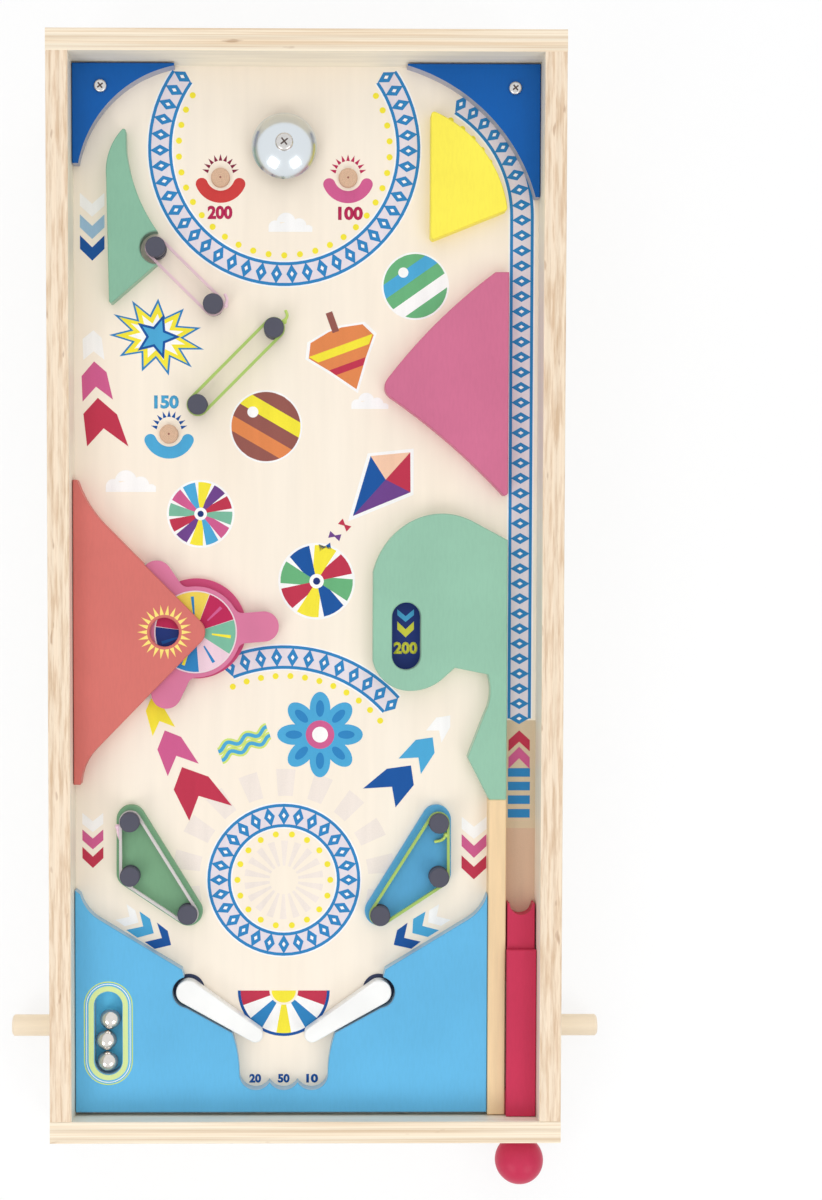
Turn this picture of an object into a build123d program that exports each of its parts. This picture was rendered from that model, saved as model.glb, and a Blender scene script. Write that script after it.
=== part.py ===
"""Tabletop pinball game: a sloping wooden tray with push-rod flippers, a spring plunger,
a paddle wheel, a bell, banded posts and three steel balls. Millimetres, +Z up, front toward -Y."""
from build123d import *
import math
import os

os.makedirs("parts", exist_ok=True)

# Wooden frame
frame_length = 600.0
frame_width = 279.0
front_height = 50.0
rear_height = 95.0
side_thickness = 12.0
end_thickness = 12.0
rim_height = 25.0  # from the deck's top face up to the rim
rim_round = 0.6
foot_height = 2.0
foot_diameter = 11.0
foot_inset = 20.0
dowel_diameter = 6.0
dowel_in_end = 8.0
dowel_in_side = 16.0

# Deck, lane and blocks, with heights above the deck's top face
deck_thickness = 5.0
groove_depth = 4.0
block_height = 9.0
block_chamfer = 0.5
lane_width = 16.9
divider_thickness = 9.8
field_axis_shift = 1.15  # the field's axis lies this far right of its middle

# Fits and clearances
fit = 0.05  # radial play of pieces that are fixed in a hole
running_fit = 0.1  # radial play of shafts and rods that move
groove_play = 0.1
seat_gap = 0.4  # between a block and the wall beside it
body_gap = 0.5  # between pieces that move past each other

# Posts, bands and pegs
post_diameter = 11.0
post_height = 12.0
post_chamfer = 0.5
spigot_diameter = 6.0
groove_bottom = 5.5
groove_width = 3.0
groove_cut = 1.0
band_thickness = 1.5
band_height = 2.4
plate_thickness = 4.0
plate_margin = 2.5  # how far a bumper plate reaches past a post in its corner
peg_diameter = 10.3
peg_height = 3.0  # the pegs are low plugs
fin_notch_play = 3.3  # between the fin and the post that it is hollowed round

# Bell
gong_radius = 17.8
gong_rim_up = 8.0
gong_top_up = 17.0
gong_wall = 1.2
bell_post_diameter = 8.0
bell_screw_diameter = 4.0
bell_screw_head = 9.8
bell_screw_head_height = 2.6
bell_screw_head_round = 1.8
bell_screw_depth = 8.0

# Corner screws
screw_diameter = 3.0
screw_head_diameter = 7.2
screw_head_height = 2.2
screw_head_round = 1.3

# Paddle wheel
wheel_radius = 25.0
wheel_from_wall = 66.6
wheel_from_front = 267.7
paddle_count = 3
paddle_reach = 45.8
paddle_width = 16.6
paddle_fillet = 5.0
paddle_angle = 4.6
wheel_base_radius = 27.6
wheel_base_thickness = 3.0
wheel_base_shift = (0.3, 1.8)
wheel_thickness = 4.9
wheel_lift = 0.3
dial_radius = 22.8
dial_thickness = 0.6
dial_recess = 0.8
axle_diameter = 6.0
axle_in_cover = 2.0
housing_height = 9.0
cover_thickness = 3.5
nose_radius = 7.9
pocket_clearance = 1.2
window_diameter = 15.9
window_offset = 16.8

# Flippers and their push rods
pivot_half_spacing = 52.75
pivot_from_front = 68.35
flipper_length = 44.0  # from the pivot to the centre of the tip
flipper_hub_radius = 6.7
flipper_tip_radius = 4.2
flipper_rest_angle = 32.6
flipper_swing = 48.0
flipper_bottom = 0.9
recess_radius = 8.8
shaft_diameter = 6.0
shaft_in_flipper = 6.0
bushing_diameter = 10.0
bushing_flange_thickness = 0.4
flange_play = 0.1
bushing_below_deck = 2.4
lever_length = 25.3
lever_thickness = 3.0
lever_hub_radius = 6.0
lever_end_radius = 4.0
pin_diameter = 4.0
pin_depth = 6.5
pin_play = 0.3
rod_diameter = 12.0
rod_stand_out = 25.7  # beyond the side board, at rest
rod_chamfer = 1.0
rod_past_pin = 9.0
notch_depth = 7.0
collar_diameter = 18.0
collar_width = 4.0
guide_width = 8.0
guide_length = 26.0
guide_below_rod = 3.0
guide_past_pin = {"left": 9.2, "right": 33.2}
rod_spring_diameter = 15.4
spring_wire = 1.0

# Plunger
plunger_up = 5.3
striker_width = 15.2
striker_length = 44.7
striker_height = 9.2
striker_bottom = 0.5
striker_notch_radius = 6.4
striker_from_front = 118.1  # the striker's tips, measured from the front wall
plunger_rod_diameter = 6.5
rod_in_striker = 18.0
rod_in_knob = 12.0
knob_radius = 13.4
knob_flat_radius = 4.0
cover_width = 16.3
cover_length = 92.8
cover_bottom = 10.2
cover_top = 13.0
cover_block_length = 13.4
plunger_spring_diameter = 9.2

# Steel balls in their slot
ball_diameter = 11.5
ball_lift = 0.1
slot_width = 15.3
slot_length = 46.0
slot_offset = 18.6  # the slot's axis, from the left wall
slot_from_front = 45.8
mint_slot_length = 37.1
mint_slot_width = 15.9
ball_places = ((0.9, 7.5), (-1.2, -4.2), (-0.5, -16.0))

# Deck frame: across, along and up follow the sloping deck
slope = math.atan((rear_height - front_height) / frame_length)
half_length = frame_length / 2
inner_half = frame_width / 2 - side_thickness
end_inner = half_length - end_thickness
deck_back = rim_height * math.sin(slope)
deck_lift = (front_height + rear_height) / 2 - rim_height * math.cos(slope)


def wall_along(y, up):
    """Place along the deck, at a height above it, of an upright wall face at y from the frame's middle."""
    return (y - deck_back + up * math.sin(slope)) / math.cos(slope)


knob_back = wall_along(-half_length, plunger_up - knob_flat_radius) - seat_gap
knob_along = knob_back - math.sqrt(knob_radius**2 - knob_flat_radius**2)
knob_front = deck_back + knob_along * math.cos(slope) - plunger_up * math.sin(slope) - knob_radius
frame_shift = -(knob_front + half_length) / 2

deck_normal = Vector(0, -math.sin(slope), math.cos(slope))
deck_axis = Axis((0, 0, 0), deck_normal)
deck = Plane(origin=(0, frame_shift + deck_back, deck_lift), x_dir=(1, 0, 0), z_dir=deck_normal)


def deck_at(across, along, up=0.0):
    """Plane parallel to the deck with its origin at a place on or above it."""
    return Plane(origin=deck.from_local_coords((across, along, up)), x_dir=(1, 0, 0), z_dir=deck_normal)


def upright_at(across, along, up=0.0):
    """Plane square to the deck that faces the front: its x is across and its y is up."""
    facing = Vector(0, -math.cos(slope), -math.sin(slope))
    return Plane(origin=deck.from_local_coords((across, along, up)), x_dir=(1, 0, 0), z_dir=facing)


def side_on(x, along, up):
    """Plane square to X through a place on the deck frame, facing +X."""
    place = deck.from_local_coords((0, along, up))
    return Plane(origin=(x, place.Y, place.Z), x_dir=(0, 1, 0), z_dir=(1, 0, 0))


def rim_at(y):
    """Height of the rim at y from the frame's middle."""
    return front_height + (y + half_length) * math.tan(slope)


def top_edges(builder):
    """Edges of the flat faces that lie highest above the deck."""
    return builder.faces().filter_by(GeomType.PLANE).group_by(deck_axis)[-1].edges()


# Edges of the playing field
left_edge = -inner_half + seat_gap
right_edge = inner_half - seat_gap
lane_left = inner_half - lane_width
lane_centre = (lane_left + inner_half) / 2
field_right = lane_left - divider_thickness
rear_edge = wall_along(end_inner, 0) - seat_gap
front_edge = wall_along(-end_inner, block_height) + seat_gap
field_axis = (left_edge + field_right) / 2 + field_axis_shift

# Places of posts, pegs, bell, wheel and screws, as (across, along)
fin_post = (left_edge + 45.3, rear_edge - 99.3)
pink_band_posts = (fin_post, (left_edge + 76.4, rear_edge - 129.8))
green_band_posts = ((left_edge + 109.5, rear_edge - 142.6), (left_edge + 67.9, rear_edge - 184.3))
left_offsets = ((84.7, 163.2), (84.7, 133.1), (53.1, 112.0))
right_offsets = ((85.4, 162.5), (85.6, 132.6), (53.2, 111.3))
plate_offsets = ((84.5, 163.9), (84.6, 133.9), (53.0, 112.7))
left_bumper_posts = [(field_axis - across, front_edge + along) for across, along in left_offsets]
right_bumper_posts = [(field_axis + across, front_edge + along) for across, along in right_offsets]
plate_corners = {
    "left": [(field_axis - across, front_edge + along) for across, along in plate_offsets],
    "right": [(field_axis + across, front_edge + along) for across, along in plate_offsets],
}
all_posts = [*pink_band_posts, *green_band_posts, *left_bumper_posts, *right_bumper_posts]
bell_place = (field_axis, rear_edge - 44.2)
upper_peg_offset = 34.9
pegs = (
    (field_axis - upper_peg_offset, rear_edge - 60.1),
    (field_axis + upper_peg_offset, rear_edge - 60.1),
    (left_edge + 51.8, rear_edge - 199.8),
)
wheel_place = (left_edge + wheel_from_wall, front_edge + wheel_from_front)
left_screw = (left_edge + 15.5, rear_edge - 12.7)
right_screw = (right_edge - 13.8, rear_edge - 13.3)
pivot_along = front_edge + pivot_from_front
pivots = {"left": field_axis - pivot_half_spacing, "right": field_axis + pivot_half_spacing}
inward = {"left": 1, "right": -1}

# Deck panel, held in grooves in the boards
panel_half = inner_half + groove_depth - groove_play
panel_front = wall_along(-end_inner, 0) - groove_depth + groove_play
panel_rear = wall_along(end_inner, 0) + groove_depth - groove_play
post_radius = post_diameter / 2

with BuildPart() as playfield_deck:
    with BuildSketch(deck):
        with Locations((0, (panel_front + panel_rear) / 2)):
            Rectangle(2 * panel_half, panel_rear - panel_front)
        with Locations(*all_posts):
            Circle(spigot_diameter / 2 + fit, mode=Mode.SUBTRACT)
        with Locations(*pegs):
            Circle(peg_diameter / 2 + fit, mode=Mode.SUBTRACT)
        with Locations(bell_place):
            Circle(bell_post_diameter / 2 + fit, mode=Mode.SUBTRACT)
        with Locations(wheel_place):
            Circle(axle_diameter / 2 + fit, mode=Mode.SUBTRACT)
        with Locations(left_screw, right_screw):
            Circle(screw_diameter / 2 + fit, mode=Mode.SUBTRACT)
        with Locations(*[(across, pivot_along) for across in pivots.values()]):
            Circle(bushing_diameter / 2 + fit, mode=Mode.SUBTRACT)
    extrude(amount=-deck_thickness)
playfield_deck.part.label = "playfield_deck"
export_step(playfield_deck.part, "parts/playfield_deck.step")

# The groove is the panel's own shape with play all round
with BuildPart() as deck_groove:
    with BuildSketch(deck.offset(groove_play)):
        with Locations((0, (panel_front + panel_rear) / 2)):
            Rectangle(2 * (panel_half + groove_play), panel_rear - panel_front + 2 * groove_play)
    extrude(amount=-(deck_thickness + 2 * groove_play))

# Dowels join each end board to the side boards, one below the deck and one above it
dowel_across = frame_width / 2 - side_thickness / 2


def dowel_set(play):
    """Make the frame's dowels or, with some play, the holes that they stand in."""
    with BuildPart() as dowels:
        for y, rearward in ((-end_inner, dowel_in_side), (end_inner, dowel_in_end)):
            rim = rim_at(y)
            below = (foot_height + rim - rim_height - deck_thickness) / 2
            for x in (-dowel_across, dowel_across):
                for z in (below, rim - rim_height / 2):
                    start = (x, frame_shift + y + rearward + play, z)
                    with BuildSketch(Plane(origin=start, x_dir=(1, 0, 0), z_dir=(0, -1, 0))):
                        Circle(dowel_diameter / 2 + play)
                    extrude(amount=dowel_in_end + dowel_in_side + 2 * play)
    return dowels.part


with BuildPart() as frame_dowels:
    add(dowel_set(0))
frame_dowels.part.label = "frame_dowels"
export_step(frame_dowels.part, "parts/frame_dowels.step")
dowel_holes = dowel_set(fit)


def board_side_view(y_from, y_to):
    """Draw a board's side view between two places from the frame's middle, with the sloping rim on top."""
    Polyline(
        (frame_shift + y_from, foot_height),
        (frame_shift + y_to, foot_height),
        (frame_shift + y_to, rim_at(y_to)),
        (frame_shift + y_from, rim_at(y_from)),
        close=True,
    )


plunger_hole = upright_at(lane_centre, wall_along(-end_inner, 0), plunger_up)
with BuildPart() as front_board:
    with BuildSketch(Plane.YZ.offset(-frame_width / 2)):
        with BuildLine():
            board_side_view(-half_length, -end_inner)
        make_face()
    extrude(amount=frame_width)
    fillet(front_board.edges().filter_by(Axis.X).group_by(Axis.Z)[-1], rim_round)
    fillet(front_board.edges().filter_by(Axis.X).sort_by(Axis.Y)[:2].sort_by(Axis.Z)[-1:], rim_round)
    add(deck_groove.part, mode=Mode.SUBTRACT)
    with BuildSketch(plunger_hole):
        Circle(plunger_rod_diameter / 2 + running_fit)
    extrude(amount=2 * end_thickness, both=True, mode=Mode.SUBTRACT)
    add(dowel_holes, mode=Mode.SUBTRACT)
front_board.part.label = "front_board"
export_step(front_board.part, "parts/front_board.step")

with BuildPart() as rear_board:
    with BuildSketch(Plane.YZ.offset(-frame_width / 2)):
        with BuildLine():
            board_side_view(end_inner, half_length)
        make_face()
    extrude(amount=frame_width)
    fillet(rear_board.edges().filter_by(Axis.X).group_by(Axis.Z)[-1], rim_round)
    add(deck_groove.part, mode=Mode.SUBTRACT)
    add(dowel_holes, mode=Mode.SUBTRACT)
rear_board.part.label = "rear_board"
export_step(rear_board.part, "parts/rear_board.step")

# Push rods run across under the deck, below the levers
lever_top = -(deck_thickness + bushing_below_deck + body_gap)
rod_up = lever_top - lever_thickness - body_gap - rod_diameter / 2
lever_drop = lever_length * (1 + math.cos(math.radians(flipper_swing / 2))) / 2
rod_along = pivot_along - lever_drop

for name, sign in (("left", -1), ("right", 1)):
    outer = sign * frame_width / 2
    with BuildPart() as side_board:
        with BuildSketch(Plane.YZ.offset(min(outer, outer - sign * side_thickness))):
            with BuildLine():
                board_side_view(-end_inner, end_inner)
            make_face()
        extrude(amount=side_thickness)
        rim_edges = side_board.faces().sort_by(Axis.Z)[-1].edges()
        fillet(rim_edges.filter_by(lambda edge: edge.length > side_thickness * 2), rim_round)
        add(deck_groove.part, mode=Mode.SUBTRACT)
        with BuildSketch(side_on(outer, rod_along, rod_up)):
            Circle(rod_diameter / 2 + running_fit)
        extrude(amount=2 * side_thickness, both=True, mode=Mode.SUBTRACT)
        add(dowel_holes, mode=Mode.SUBTRACT)
    side_board.part.label = f"{name}_side_board"
    export_step(side_board.part, f"parts/{name}_side_board.step")

with BuildPart() as rubber_feet:
    foot_across = frame_width / 2 - foot_inset
    foot_along = half_length - end_thickness / 2
    with BuildSketch(Plane.XY):
        for x in (-foot_across, foot_across):
            with Locations((x, frame_shift - foot_along), (x, frame_shift + foot_along)):
                Circle(foot_diameter / 2)
    extrude(amount=foot_height)
rubber_feet.part.label = "rubber_feet"
export_step(rubber_feet.part, "parts/rubber_feet.step")


def corner_outline(span, drop, tip, radius, hand):
    """Draw a corner block, from the corner along the rear wall and down the side wall, with a hollow arc."""
    rear_tip, side_tip = tip
    Line((0, 0), (hand * span, 0))
    Line((hand * span, 0), (hand * span, -rear_tip))
    RadiusArc((hand * span, -rear_tip), (hand * side_tip, -drop), -hand * radius)
    Line((hand * side_tip, -drop), (0, -drop))
    Line((0, -drop), (0, 0))


with BuildPart() as corner_block_left:
    with BuildSketch(deck_at(left_edge, rear_edge)):
        with BuildLine():
            corner_outline(span=55.4, drop=53.9, tip=(1.5, 3.3), radius=66.4, hand=1)
        make_face()
        with Locations((left_screw[0] - left_edge, left_screw[1] - rear_edge)):
            Circle(screw_diameter / 2 + fit, mode=Mode.SUBTRACT)
    extrude(amount=block_height)
    chamfer(top_edges(corner_block_left).filter_by(GeomType.CIRCLE, reverse=True), block_chamfer)
corner_block_left.part.label = "corner_block_left"
export_step(corner_block_left.part, "parts/corner_block_left.step")

with BuildPart() as corner_block_right:
    with BuildSketch(deck_at(right_edge, rear_edge)):
        with BuildLine():
            corner_outline(span=72.1, drop=71.6, tip=(1.1, 2.4), radius=102.0, hand=-1)
        make_face()
        with Locations((right_screw[0] - right_edge, right_screw[1] - rear_edge)):
            Circle(screw_diameter / 2 + fit, mode=Mode.SUBTRACT)
    extrude(amount=block_height)
    chamfer(top_edges(corner_block_right).filter_by(GeomType.CIRCLE, reverse=True), block_chamfer)
corner_block_right.part.label = "corner_block_right"
export_step(corner_block_right.part, "parts/corner_block_right.step")

with BuildPart() as corner_screws:
    with BuildSketch(deck.offset(block_height)):
        with Locations(left_screw, right_screw):
            Circle(screw_head_diameter / 2)
    extrude(amount=screw_head_height)
    fillet(top_edges(corner_screws), screw_head_round)
    with BuildSketch(deck.offset(block_height)):
        with Locations(left_screw, right_screw):
            Circle(screw_diameter / 2)
    extrude(amount=-(block_height + deck_thickness))
corner_screws.part.label = "corner_screws"
export_step(corner_screws.part, "parts/corner_screws.step")

# The fin stands at the left, hollowed round the first post
with BuildPart() as fin_block:
    with BuildSketch(deck_at(*fin_post)) as fin_outline:
        with BuildLine():
            Line((-15.9, 52.6), (-16.2, 65.5))
            ThreePointArc((-16.2, 65.5), (-24.8, 53.1), (-26.9, 38.0))
            Line((-26.9, 38.0), (-25.5, -31.3))
            Line((-25.5, -31.3), (1.1, -8.3))
            Line((1.1, -8.3), (1.9, 7.4))
            ThreePointArc((1.9, 7.4), (-10.6, 30.5), (-15.9, 52.6))
        make_face()
        Circle(post_radius + fin_notch_play, mode=Mode.SUBTRACT)
        tips = fin_outline.vertices().sort_by(Axis.Y)
        fillet((tips[0], tips[-1]), 1.2)
    extrude(amount=block_height)
    chamfer(top_edges(fin_block), block_chamfer)
fin_block.part.label = "fin_block"
export_step(fin_block.part, "parts/fin_block.step")

with BuildPart() as yellow_wedge:
    with BuildSketch(deck_at(right_edge - 58.5, rear_edge - 25.6)) as wedge_outline:
        with BuildLine():
            ThreePointArc((-0.9, 0.8), (24.9, -17.2), (41.0, -52.9))
            Line((41.0, -52.9), (-0.9, -69.7))
            Line((-0.9, -69.7), (-0.9, 0.8))
        make_face()
        fillet(wedge_outline.vertices(), 1.8)
    extrude(amount=block_height)
    chamfer(top_edges(yellow_wedge), block_chamfer)
yellow_wedge.part.label = "yellow_wedge"
export_step(yellow_wedge.part, "parts/yellow_wedge.step")

with BuildPart() as pink_block:
    with BuildSketch(deck_at(lane_left, rear_edge - 112.1)) as pink_outline:
        with BuildLine():
            Line((0, 0), (-7.4, 0))
            ThreePointArc((-7.4, 0), (-35.6, -23.8), (-70.6, -63.8))
            ThreePointArc((-70.6, -63.8), (-33.9, -91.3), (0, -123.9))
            Line((0, -123.9), (0, 0))
        make_face()
        corners = pink_outline.vertices().sort_by(Axis.X)
        fillet(corners[0], 7.0)
        fillet(pink_outline.vertices().sort_by(Axis.Y)[0], 1.6)
    extrude(amount=block_height)
    chamfer(top_edges(pink_block), block_chamfer)
pink_block.part.label = "pink_block"
export_step(pink_block.part, "parts/pink_block.step")

# The mint block carries a slot for the ball and runs down into the lane divider
mint_along = rear_edge - 257.9
mint_length = 142.8
with BuildPart() as mint_block:
    with BuildSketch(deck_at(lane_left, mint_along)):
        with BuildLine():
            Line((0, 0), (-18.5, 9.9))
            ThreePointArc((-18.5, 9.9), (-38.3, 14.4), (-57.4, 7.3))
            ThreePointArc((-57.4, 7.3), (-67.4, -3.0), (-73.7, -17.5))
            Line((-73.7, -17.5), (-73.8, -66.0))
            ThreePointArc((-73.8, -66.0), (-67.7, -77.1), (-57.1, -82.5))
            ThreePointArc((-57.1, -82.5), (-44.8, -81.5), (-34.7, -75.5))
            Line((-34.7, -75.5), (-28.7, -70.1))
            Line((-28.7, -70.1), (-10.6, -73.7))
            ThreePointArc((-10.6, -73.7), (-9.1, -84.3), (-12.1, -95.2))
            Line((-12.1, -95.2), (-21.4, -119.4))
            Line((-21.4, -119.4), (-9.4, -mint_length))
            Line((-9.4, -mint_length), (0, -mint_length))
            Line((0, -mint_length), (0, 0))
        make_face()
        with Locations((-55.35, -52.75)):
            SlotOverall(mint_slot_length, mint_slot_width, rotation=90, mode=Mode.SUBTRACT)
    extrude(amount=block_height)
    chamfer(top_edges(mint_block), block_chamfer)
mint_block.part.label = "mint_block"
export_step(mint_block.part, "parts/mint_block.step")

divider_rear = mint_along - mint_length
with BuildPart() as lane_divider:
    with BuildSketch(deck_at(lane_left, divider_rear)):
        with Locations((-divider_thickness / 2, (front_edge - divider_rear) / 2)):
            Rectangle(divider_thickness, divider_rear - front_edge)
    extrude(amount=block_height)
    chamfer(top_edges(lane_divider), block_chamfer)
lane_divider.part.label = "lane_divider"
export_step(lane_divider.part, "parts/lane_divider.step")


def housing_outline():
    """Draw the wheel housing's outline from the wheel's centre: a nose that points into the field."""
    wall = left_edge - wheel_place[0]
    nose = (8.6, 0.2)
    upper = Line(nose, (wall + 17.1, 58.9))
    TangentArc(upper @ 1, (wall + 2.3, 83.0), tangent=upper % 1)
    Line((wall + 2.3, 83.0), (wall, 83.0))
    Line((wall, 83.0), (wall, -83.7))
    Line((wall, -83.7), (wall + 3.6, -83.7))
    lower = Line(nose, (wall + 12.4, -64.2))
    TangentArc(lower @ 1, (wall + 3.6, -83.7), tangent=lower % 1)


with BuildPart() as wheel_housing:
    with BuildSketch(deck_at(*wheel_place)) as housing_face:
        with BuildLine():
            housing_outline()
        make_face()
        fillet(housing_face.vertices().sort_by(Axis.X)[-1], nose_radius)
        Circle(paddle_reach + pocket_clearance, mode=Mode.SUBTRACT)
    extrude(amount=housing_height)
wheel_housing.part.label = "wheel_housing"
export_step(wheel_housing.part, "parts/wheel_housing.step")

with BuildPart() as wheel_cover:
    with BuildSketch(deck_at(*wheel_place, housing_height)) as cover_face:
        with BuildLine():
            housing_outline()
        make_face()
        fillet(cover_face.vertices().sort_by(Axis.X)[-1], nose_radius)
        with Locations((-window_offset, 0)):
            Circle(window_diameter / 2, mode=Mode.SUBTRACT)
    extrude(amount=cover_thickness)
    chamfer(top_edges(wheel_cover), block_chamfer)
    with BuildSketch(deck_at(*wheel_place, housing_height)):
        Circle(axle_diameter / 2 + fit)
    extrude(amount=axle_in_cover, mode=Mode.SUBTRACT)
wheel_cover.part.label = "wheel_cover"
export_step(wheel_cover.part, "parts/wheel_cover.step")

with BuildPart() as wheel_base:
    with BuildSketch(deck_at(*wheel_place)):
        with Locations(wheel_base_shift):
            Circle(wheel_base_radius)
        Circle(axle_diameter / 2 + fit, mode=Mode.SUBTRACT)
    extrude(amount=wheel_base_thickness)
wheel_base.part.label = "wheel_base"
export_step(wheel_base.part, "parts/wheel_base.step")

with BuildPart() as wheel_axle:
    with BuildSketch(deck_at(*wheel_place, -deck_thickness)):
        Circle(axle_diameter / 2)
    extrude(amount=deck_thickness + housing_height + axle_in_cover - fit)
wheel_axle.part.label = "wheel_axle"
export_step(wheel_axle.part, "parts/wheel_axle.step")

wheel_bottom = wheel_base_thickness + wheel_lift
wheel_top = wheel_bottom + wheel_thickness
with BuildPart() as score_wheel:
    with BuildSketch(deck_at(*wheel_place, wheel_bottom)) as wheel_outline:
        Circle(wheel_radius)
        end_centre = paddle_reach - paddle_width / 2
        with PolarLocations(end_centre / 2, paddle_count, start_angle=paddle_angle):
            SlotCenterToCenter(end_centre, paddle_width)
        roots = [v for v in wheel_outline.vertices() if abs(math.hypot(v.X, v.Y) - wheel_radius) < 0.01]
        fillet(roots, paddle_fillet)
        Circle(axle_diameter / 2 + running_fit, mode=Mode.SUBTRACT)
    extrude(amount=wheel_thickness)
    with BuildSketch(deck_at(*wheel_place, wheel_top)):
        Circle(dial_radius)
    extrude(amount=-dial_recess, mode=Mode.SUBTRACT)
score_wheel.part.label = "score_wheel"
export_step(score_wheel.part, "parts/score_wheel.step")

with BuildPart() as wheel_dial:
    with BuildSketch(deck_at(*wheel_place, wheel_top - dial_recess)):
        Circle(dial_radius - fit)
        Circle(axle_diameter / 2 + running_fit, mode=Mode.SUBTRACT)
    extrude(amount=dial_thickness)
wheel_dial.part.label = "wheel_dial"
export_step(wheel_dial.part, "parts/wheel_dial.step")

# Apron: two slopes down to the flippers, three scallops for drained balls and a slot for spare ones
slot_across = left_edge - seat_gap + slot_offset
slot_along = front_edge + slot_from_front
with BuildPart() as apron_panel:
    with BuildSketch(deck_at(field_axis, front_edge)):
        left_reach = left_edge - field_axis
        right_reach = field_right - seat_gap - field_axis
        foot = 1.5  # play between the apron and the front board
        shoulder = 123.0  # where the slopes end at the side walls
        brow = pivot_from_front + 12.8  # where they start beside the flippers
        brow_half = pivot_half_spacing + 3.5
        with BuildLine():
            Line((left_reach, foot), (left_reach, shoulder + 2.1))
            Line((left_reach, shoulder + 2.1), (left_reach + 2.8, shoulder))
            left_slope = Line((-brow_half, brow), (left_reach + 13.3, 108.9))
            TangentArc(left_slope @ 1, (left_reach + 2.8, shoulder), tangent=left_slope % 1)
            Line((-brow_half, brow), (-pivot_half_spacing, pivot_from_front))
            Line((-pivot_half_spacing, pivot_from_front), (pivot_half_spacing, pivot_from_front))
            Line((pivot_half_spacing, pivot_from_front), (brow_half, brow))
            right_slope = Line((brow_half, brow), (right_reach - 10.6, 108.9))
            TangentArc(right_slope @ 1, (right_reach, shoulder), tangent=right_slope % 1)
            Line((right_reach, shoulder), (right_reach, foot))
            Line((right_reach, foot), (left_reach, foot))
        make_face()
        scallop_pitch = 15.5
        scallop_radius = 9.0
        scallop_along = 22.9
        pocket_half = scallop_pitch + scallop_radius
        mouth_half = pivot_half_spacing - 24.2
        mouth = pivot_from_front - 22.6
        cheek_half = pivot_half_spacing + 5.4
        cheek = pivot_from_front - 6.4
        with BuildLine():
            Line((-pocket_half, scallop_along), (pocket_half, scallop_along))
            TangentArc((pocket_half, scallop_along), (mouth_half, mouth), tangent=(0, 1))
            Line((mouth_half, mouth), (cheek_half, cheek))
            Line((cheek_half, cheek), (pivot_half_spacing, pivot_from_front + 1))
            Line((pivot_half_spacing, pivot_from_front + 1), (-pivot_half_spacing, pivot_from_front + 1))
            Line((-pivot_half_spacing, pivot_from_front + 1), (-cheek_half, cheek))
            Line((-cheek_half, cheek), (-mouth_half, mouth))
            TangentArc((-pocket_half, scallop_along), (-mouth_half, mouth), tangent=(0, 1))
        make_face(mode=Mode.SUBTRACT)
        with Locations((-scallop_pitch, scallop_along), (0, scallop_along), (scallop_pitch, scallop_along)):
            Circle(scallop_radius, mode=Mode.SUBTRACT)
        with Locations((-pivot_half_spacing, pivot_from_front), (pivot_half_spacing, pivot_from_front)):
            Circle(recess_radius, mode=Mode.SUBTRACT)
        with Locations((slot_across - field_axis, slot_from_front)):
            SlotOverall(slot_length, slot_width, rotation=90, mode=Mode.SUBTRACT)
    extrude(amount=block_height)
    chamfer(top_edges(apron_panel), block_chamfer)
apron_panel.part.label = "apron_panel"
export_step(apron_panel.part, "parts/apron_panel.step")

# Posts, their bands and the bumper plates
groove_radius = post_radius - groove_cut
groove_top = groove_bottom + groove_width
with BuildPart() as bumper_posts:
    with BuildSketch(deck):
        with Locations(*all_posts):
            Circle(post_radius)
    extrude(amount=post_height)
    chamfer(top_edges(bumper_posts), post_chamfer)
    with BuildSketch(deck.offset(groove_bottom)):
        with Locations(*all_posts):
            Circle(post_diameter)
            Circle(groove_radius, mode=Mode.SUBTRACT)
    extrude(amount=groove_width, mode=Mode.SUBTRACT)
    with BuildSketch(deck):
        with Locations(*all_posts):
            Circle(spigot_diameter / 2)
    extrude(amount=-deck_thickness)
bumper_posts.part.label = "bumper_posts"
export_step(bumper_posts.part, "parts/bumper_posts.step")

for name, posts in (
    ("upper_band_pink", pink_band_posts),
    ("upper_band_green", green_band_posts),
    ("left_bumper_band", left_bumper_posts),
    ("right_bumper_band", right_bumper_posts),
):
    band_bottom = groove_bottom + (groove_width - band_height) / 2
    with BuildPart() as band:
        inner = groove_radius + fit
        for radius, mode in ((inner + band_thickness, Mode.ADD), (inner, Mode.SUBTRACT)):
            with BuildSketch(deck.offset(band_bottom)):
                with Locations(*posts):
                    Circle(radius)
                make_hull()
            extrude(amount=band_height, mode=mode)
    band.part.label = name
    export_step(band.part, f"parts/{name}.step")

for name, posts in (("left", left_bumper_posts), ("right", right_bumper_posts)):
    with BuildPart() as bumper_plate:
        with BuildSketch(deck):
            with Locations(*plate_corners[name]):
                Circle(post_radius + plate_margin)
            make_hull()
        extrude(amount=plate_thickness)
        chamfer(top_edges(bumper_plate), block_chamfer)
        with BuildSketch(deck):
            with Locations(*posts):
                Circle(post_radius + fit)
        extrude(amount=plate_thickness, mode=Mode.SUBTRACT)
    bumper_plate.part.label = f"bumper_plate_{name}"
    export_step(bumper_plate.part, f"parts/bumper_plate_{name}.step")

with BuildPart() as score_pegs:
    with BuildSketch(deck.offset(-deck_thickness)):
        with Locations(*pegs):
            Circle(peg_diameter / 2)
    extrude(amount=deck_thickness + peg_height)
    chamfer(top_edges(score_pegs), post_chamfer)
score_pegs.part.label = "score_pegs"
export_step(score_pegs.part, "parts/score_pegs.step")

# Bell: a domed gong on a post, held by a screw
gong_axis = Axis(deck.from_local_coords((*bell_place, 0)), deck_normal)
gong_rise = gong_top_up - gong_rim_up


def dome_arc(radius, rise):
    """Draw the dome's section from the axis out to its rim."""
    TangentArc((0, gong_rim_up + rise), (radius, gong_rim_up), tangent=(1, 0))


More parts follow.
